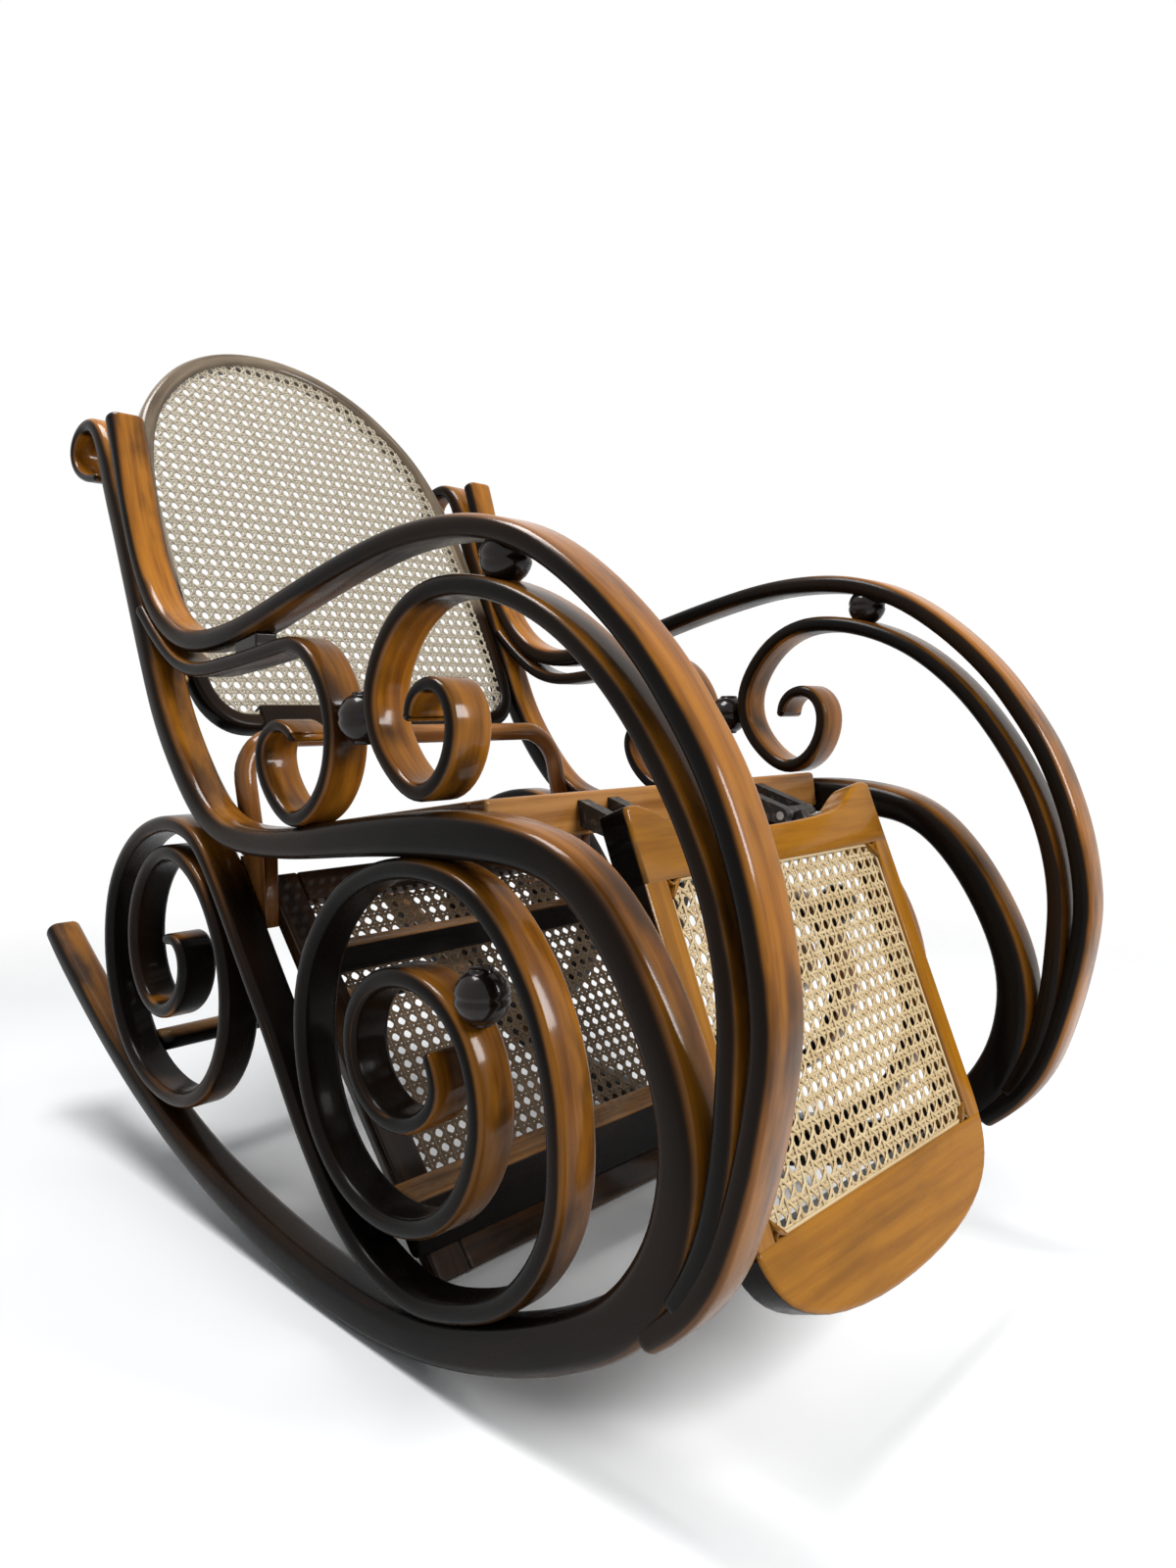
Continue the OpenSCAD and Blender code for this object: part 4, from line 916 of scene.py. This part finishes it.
leg_cane = cane("leg_rest_cane", (0.57, 0.47, 0.28), (0.32, 0.19, 0.07), 0.8)
opening = []
for x, z, first in ((1, LEG_TOP, 0), (-1, LEG_TOP, 90), (-1, LEG_LOW, 180), (1, LEG_LOW, 270)):
    middle = Vector((x * (inner - fillet), 0, z + (-fillet if z == LEG_TOP else fillet)))
    opening += [middle + fillet * Vector((cos(radians(first + a)), 0, sin(radians(first + a))))
                for a in range(0, 91, 15)]
cane_sheet("leg_rest_cane", opening, CANE_DEPTH, leg_place, leg_cane, "leg_cane", "leg_rest")

# ---- Binding of the leg rest's cane ----
# A thin cane strip that is glued down where the sheet meets its frame, all the way round the
# opening. It hides the cut ends of the strands.
BINDING_IN = 0.993
BINDING_DEPTH = 0.0036
BINDING_HALF_T, BINDING_HALF_W = 0.0012, 0.0016
binding = new_mesh()
middle = Vector((0, 0, (LEG_TOP + LEG_LOW) / 2))
line = [middle + (stop - middle) * BINDING_IN for stop in opening]
ribbon = flat_stations(line + line[:2], BINDING_DEPTH, BINDING_HALF_T, BINDING_HALF_W)
sweep(binding, [ribbon], 8)
piece(binding, "leg_rest_binding", leg_cane, "leg_rest", [], leg_place)

# ---- Hinges and screws ----
# Black iron hinge leaves and ears with steel pins and screws, hidden behind the leg rest, and the
# wooden dowels, which only show as end grain.
metal_wear, metal_in, metal_out = effect(
    "metal_wear",
    [("Metal", "Color", (0.1, 0.1, 0.1, 1)), ("Worn", "Color", (0.3, 0.3, 0.3, 1)),
     ("Rough", "Float", 0.4)],
    [("Color", "Color"), ("Roughness", "Float"), ("Height", "Float")])
where = node(metal_wear, "TexCoord").outputs["Object"]
rub = streaks(metal_wear, where, (160, 160, 160), 4.0)
rubbed = ranged(metal_wear, rub, 0.5, 0.72)
tone = blend(metal_wear, rubbed, metal_in.outputs["Metal"], metal_in.outputs["Worn"])
metal_wear.links.new(tone, metal_out.inputs["Color"])
roughened = maths(metal_wear, "MULTIPLY", rub, 0.15)
rough = maths(metal_wear, "ADD", metal_in.outputs["Rough"], roughened)
metal_wear.links.new(rough, metal_out.inputs["Roughness"])
metal_wear.links.new(rub, metal_out.inputs["Height"])


def worn_finish(name, metal, worn, rough, bump, metallic):
    """a small part's finish from its own colour, its colour where it is rubbed and its roughness"""
    values = {"Metal": (*metal, 1), "Worn": (*worn, 1), "Rough": rough}
    return finish(name, metal_wear, values, bump, Metallic=metallic)


iron = worn_finish("blackened_iron", (0.035, 0.032, 0.03), (0.12, 0.10, 0.085), 0.4, 0.2, 0.8)
steel = worn_finish("steel", (0.45, 0.44, 0.42), (0.28, 0.25, 0.22), 0.25, 0.1, 1.0)
peg_wood = worn_finish("dowel_wood", (0.40, 0.25, 0.12), (0.28, 0.15, 0.06), 0.5, 0.1, 0.0)
for material, names in ((iron, ("leg_hinge_leaves", "hinge_brackets")),
                        (steel, ("hinge_pins", "bracket_screws", "leaf_screws")),
                        (peg_wood, ("back_dowels", "seat_dowels", "stretcher_dowels"))):
    for name in names:
        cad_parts[name].data.materials.clear()
        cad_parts[name].data.materials.append(material)

# ---- Floor and light ----
# A plain pale floor that fades into a white surround, and two soft lamps, the stronger one in
# front of the chair and the other overhead.
FLOOR_R = 4
FADE_FROM, FADE_TO = 0.8, 1.9
floor_mesh = bmesh.new()
bmesh.ops.create_circle(floor_mesh, cap_ends=True, segments=64, radius=FLOOR_R)
mesh = bpy.data.meshes.new("floor")
floor_mesh.to_mesh(mesh)
floor_mesh.free()
floor = bpy.data.objects.new("floor", mesh)
bpy.context.scene.collection.objects.link(floor)
floor_paint = bpy.data.materials.new("pale_floor")
floor_paint.use_nodes = True
tree = floor_paint.node_tree
paint = tree.nodes["Principled BSDF"]
paint.inputs["Base Color"].default_value = (0.96, 0.96, 0.96, 1)
paint.inputs["Roughness"].default_value = 0.8
paint.inputs["Specular IOR Level"].default_value = 0.1
clear = node(tree, "BsdfTransparent")
where = node(tree, "TexCoord").outputs["Object"]
away = node(tree, "VectorMath", {0: where}, operation="LENGTH").outputs["Value"]
gone = ranged(tree, away, FADE_FROM, FADE_TO)
fade = node(tree, "MixShader", {0: gone, 1: paint.outputs[0], 2: clear.outputs[0]})
tree.links.new(fade.outputs[0], tree.nodes["Material Output"].inputs["Surface"])
mesh.materials.append(floor_paint)

world = bpy.data.worlds.new("surround")
bpy.context.scene.world = world
world.use_nodes = True
tree = world.node_tree
rays = node(tree, "LightPath").outputs
bounced = maths(tree, "MAXIMUM", rays["Is Glossy Ray"], rays["Is Transmission Ray"])
seen = maths(tree, "MAXIMUM", rays["Is Camera Ray"], bounced)
soft = tree.nodes["Background"]
soft.inputs["Color"].default_value = (0.9, 0.95, 1.0, 1)
soft.inputs["Strength"].default_value = 0.28
white = node(tree, "Background", {"Color": (1, 1, 1, 1), "Strength": 1.0})
shown = node(tree, "MixShader", {0: seen, 1: soft.outputs[0], 2: white.outputs[0]})
tree.links.new(shown.outputs[0], tree.nodes["World Output"].inputs["Surface"])


LAMP_AIM = Vector((0, 0, 0.4))


def lamp(name, at, size, power):
    """a square soft lamp at a place, turned to the middle of the chair"""
    data = bpy.data.lights.new(name, "AREA")
    data.size = size
    data.energy = power
    made = bpy.data.objects.new(name, data)
    turn = (Vector(at) - LAMP_AIM).to_track_quat("Z", "Y").to_matrix().to_4x4()
    made.matrix_world = Matrix.Translation(at) @ turn
    bpy.context.scene.collection.objects.link(made)


lamp("front_lamp", (2.2, 0.7, 1.5), 0.9, 66)
lamp("overhead_lamp", (-0.3, -0.5, 2.4), 0.8, 50)
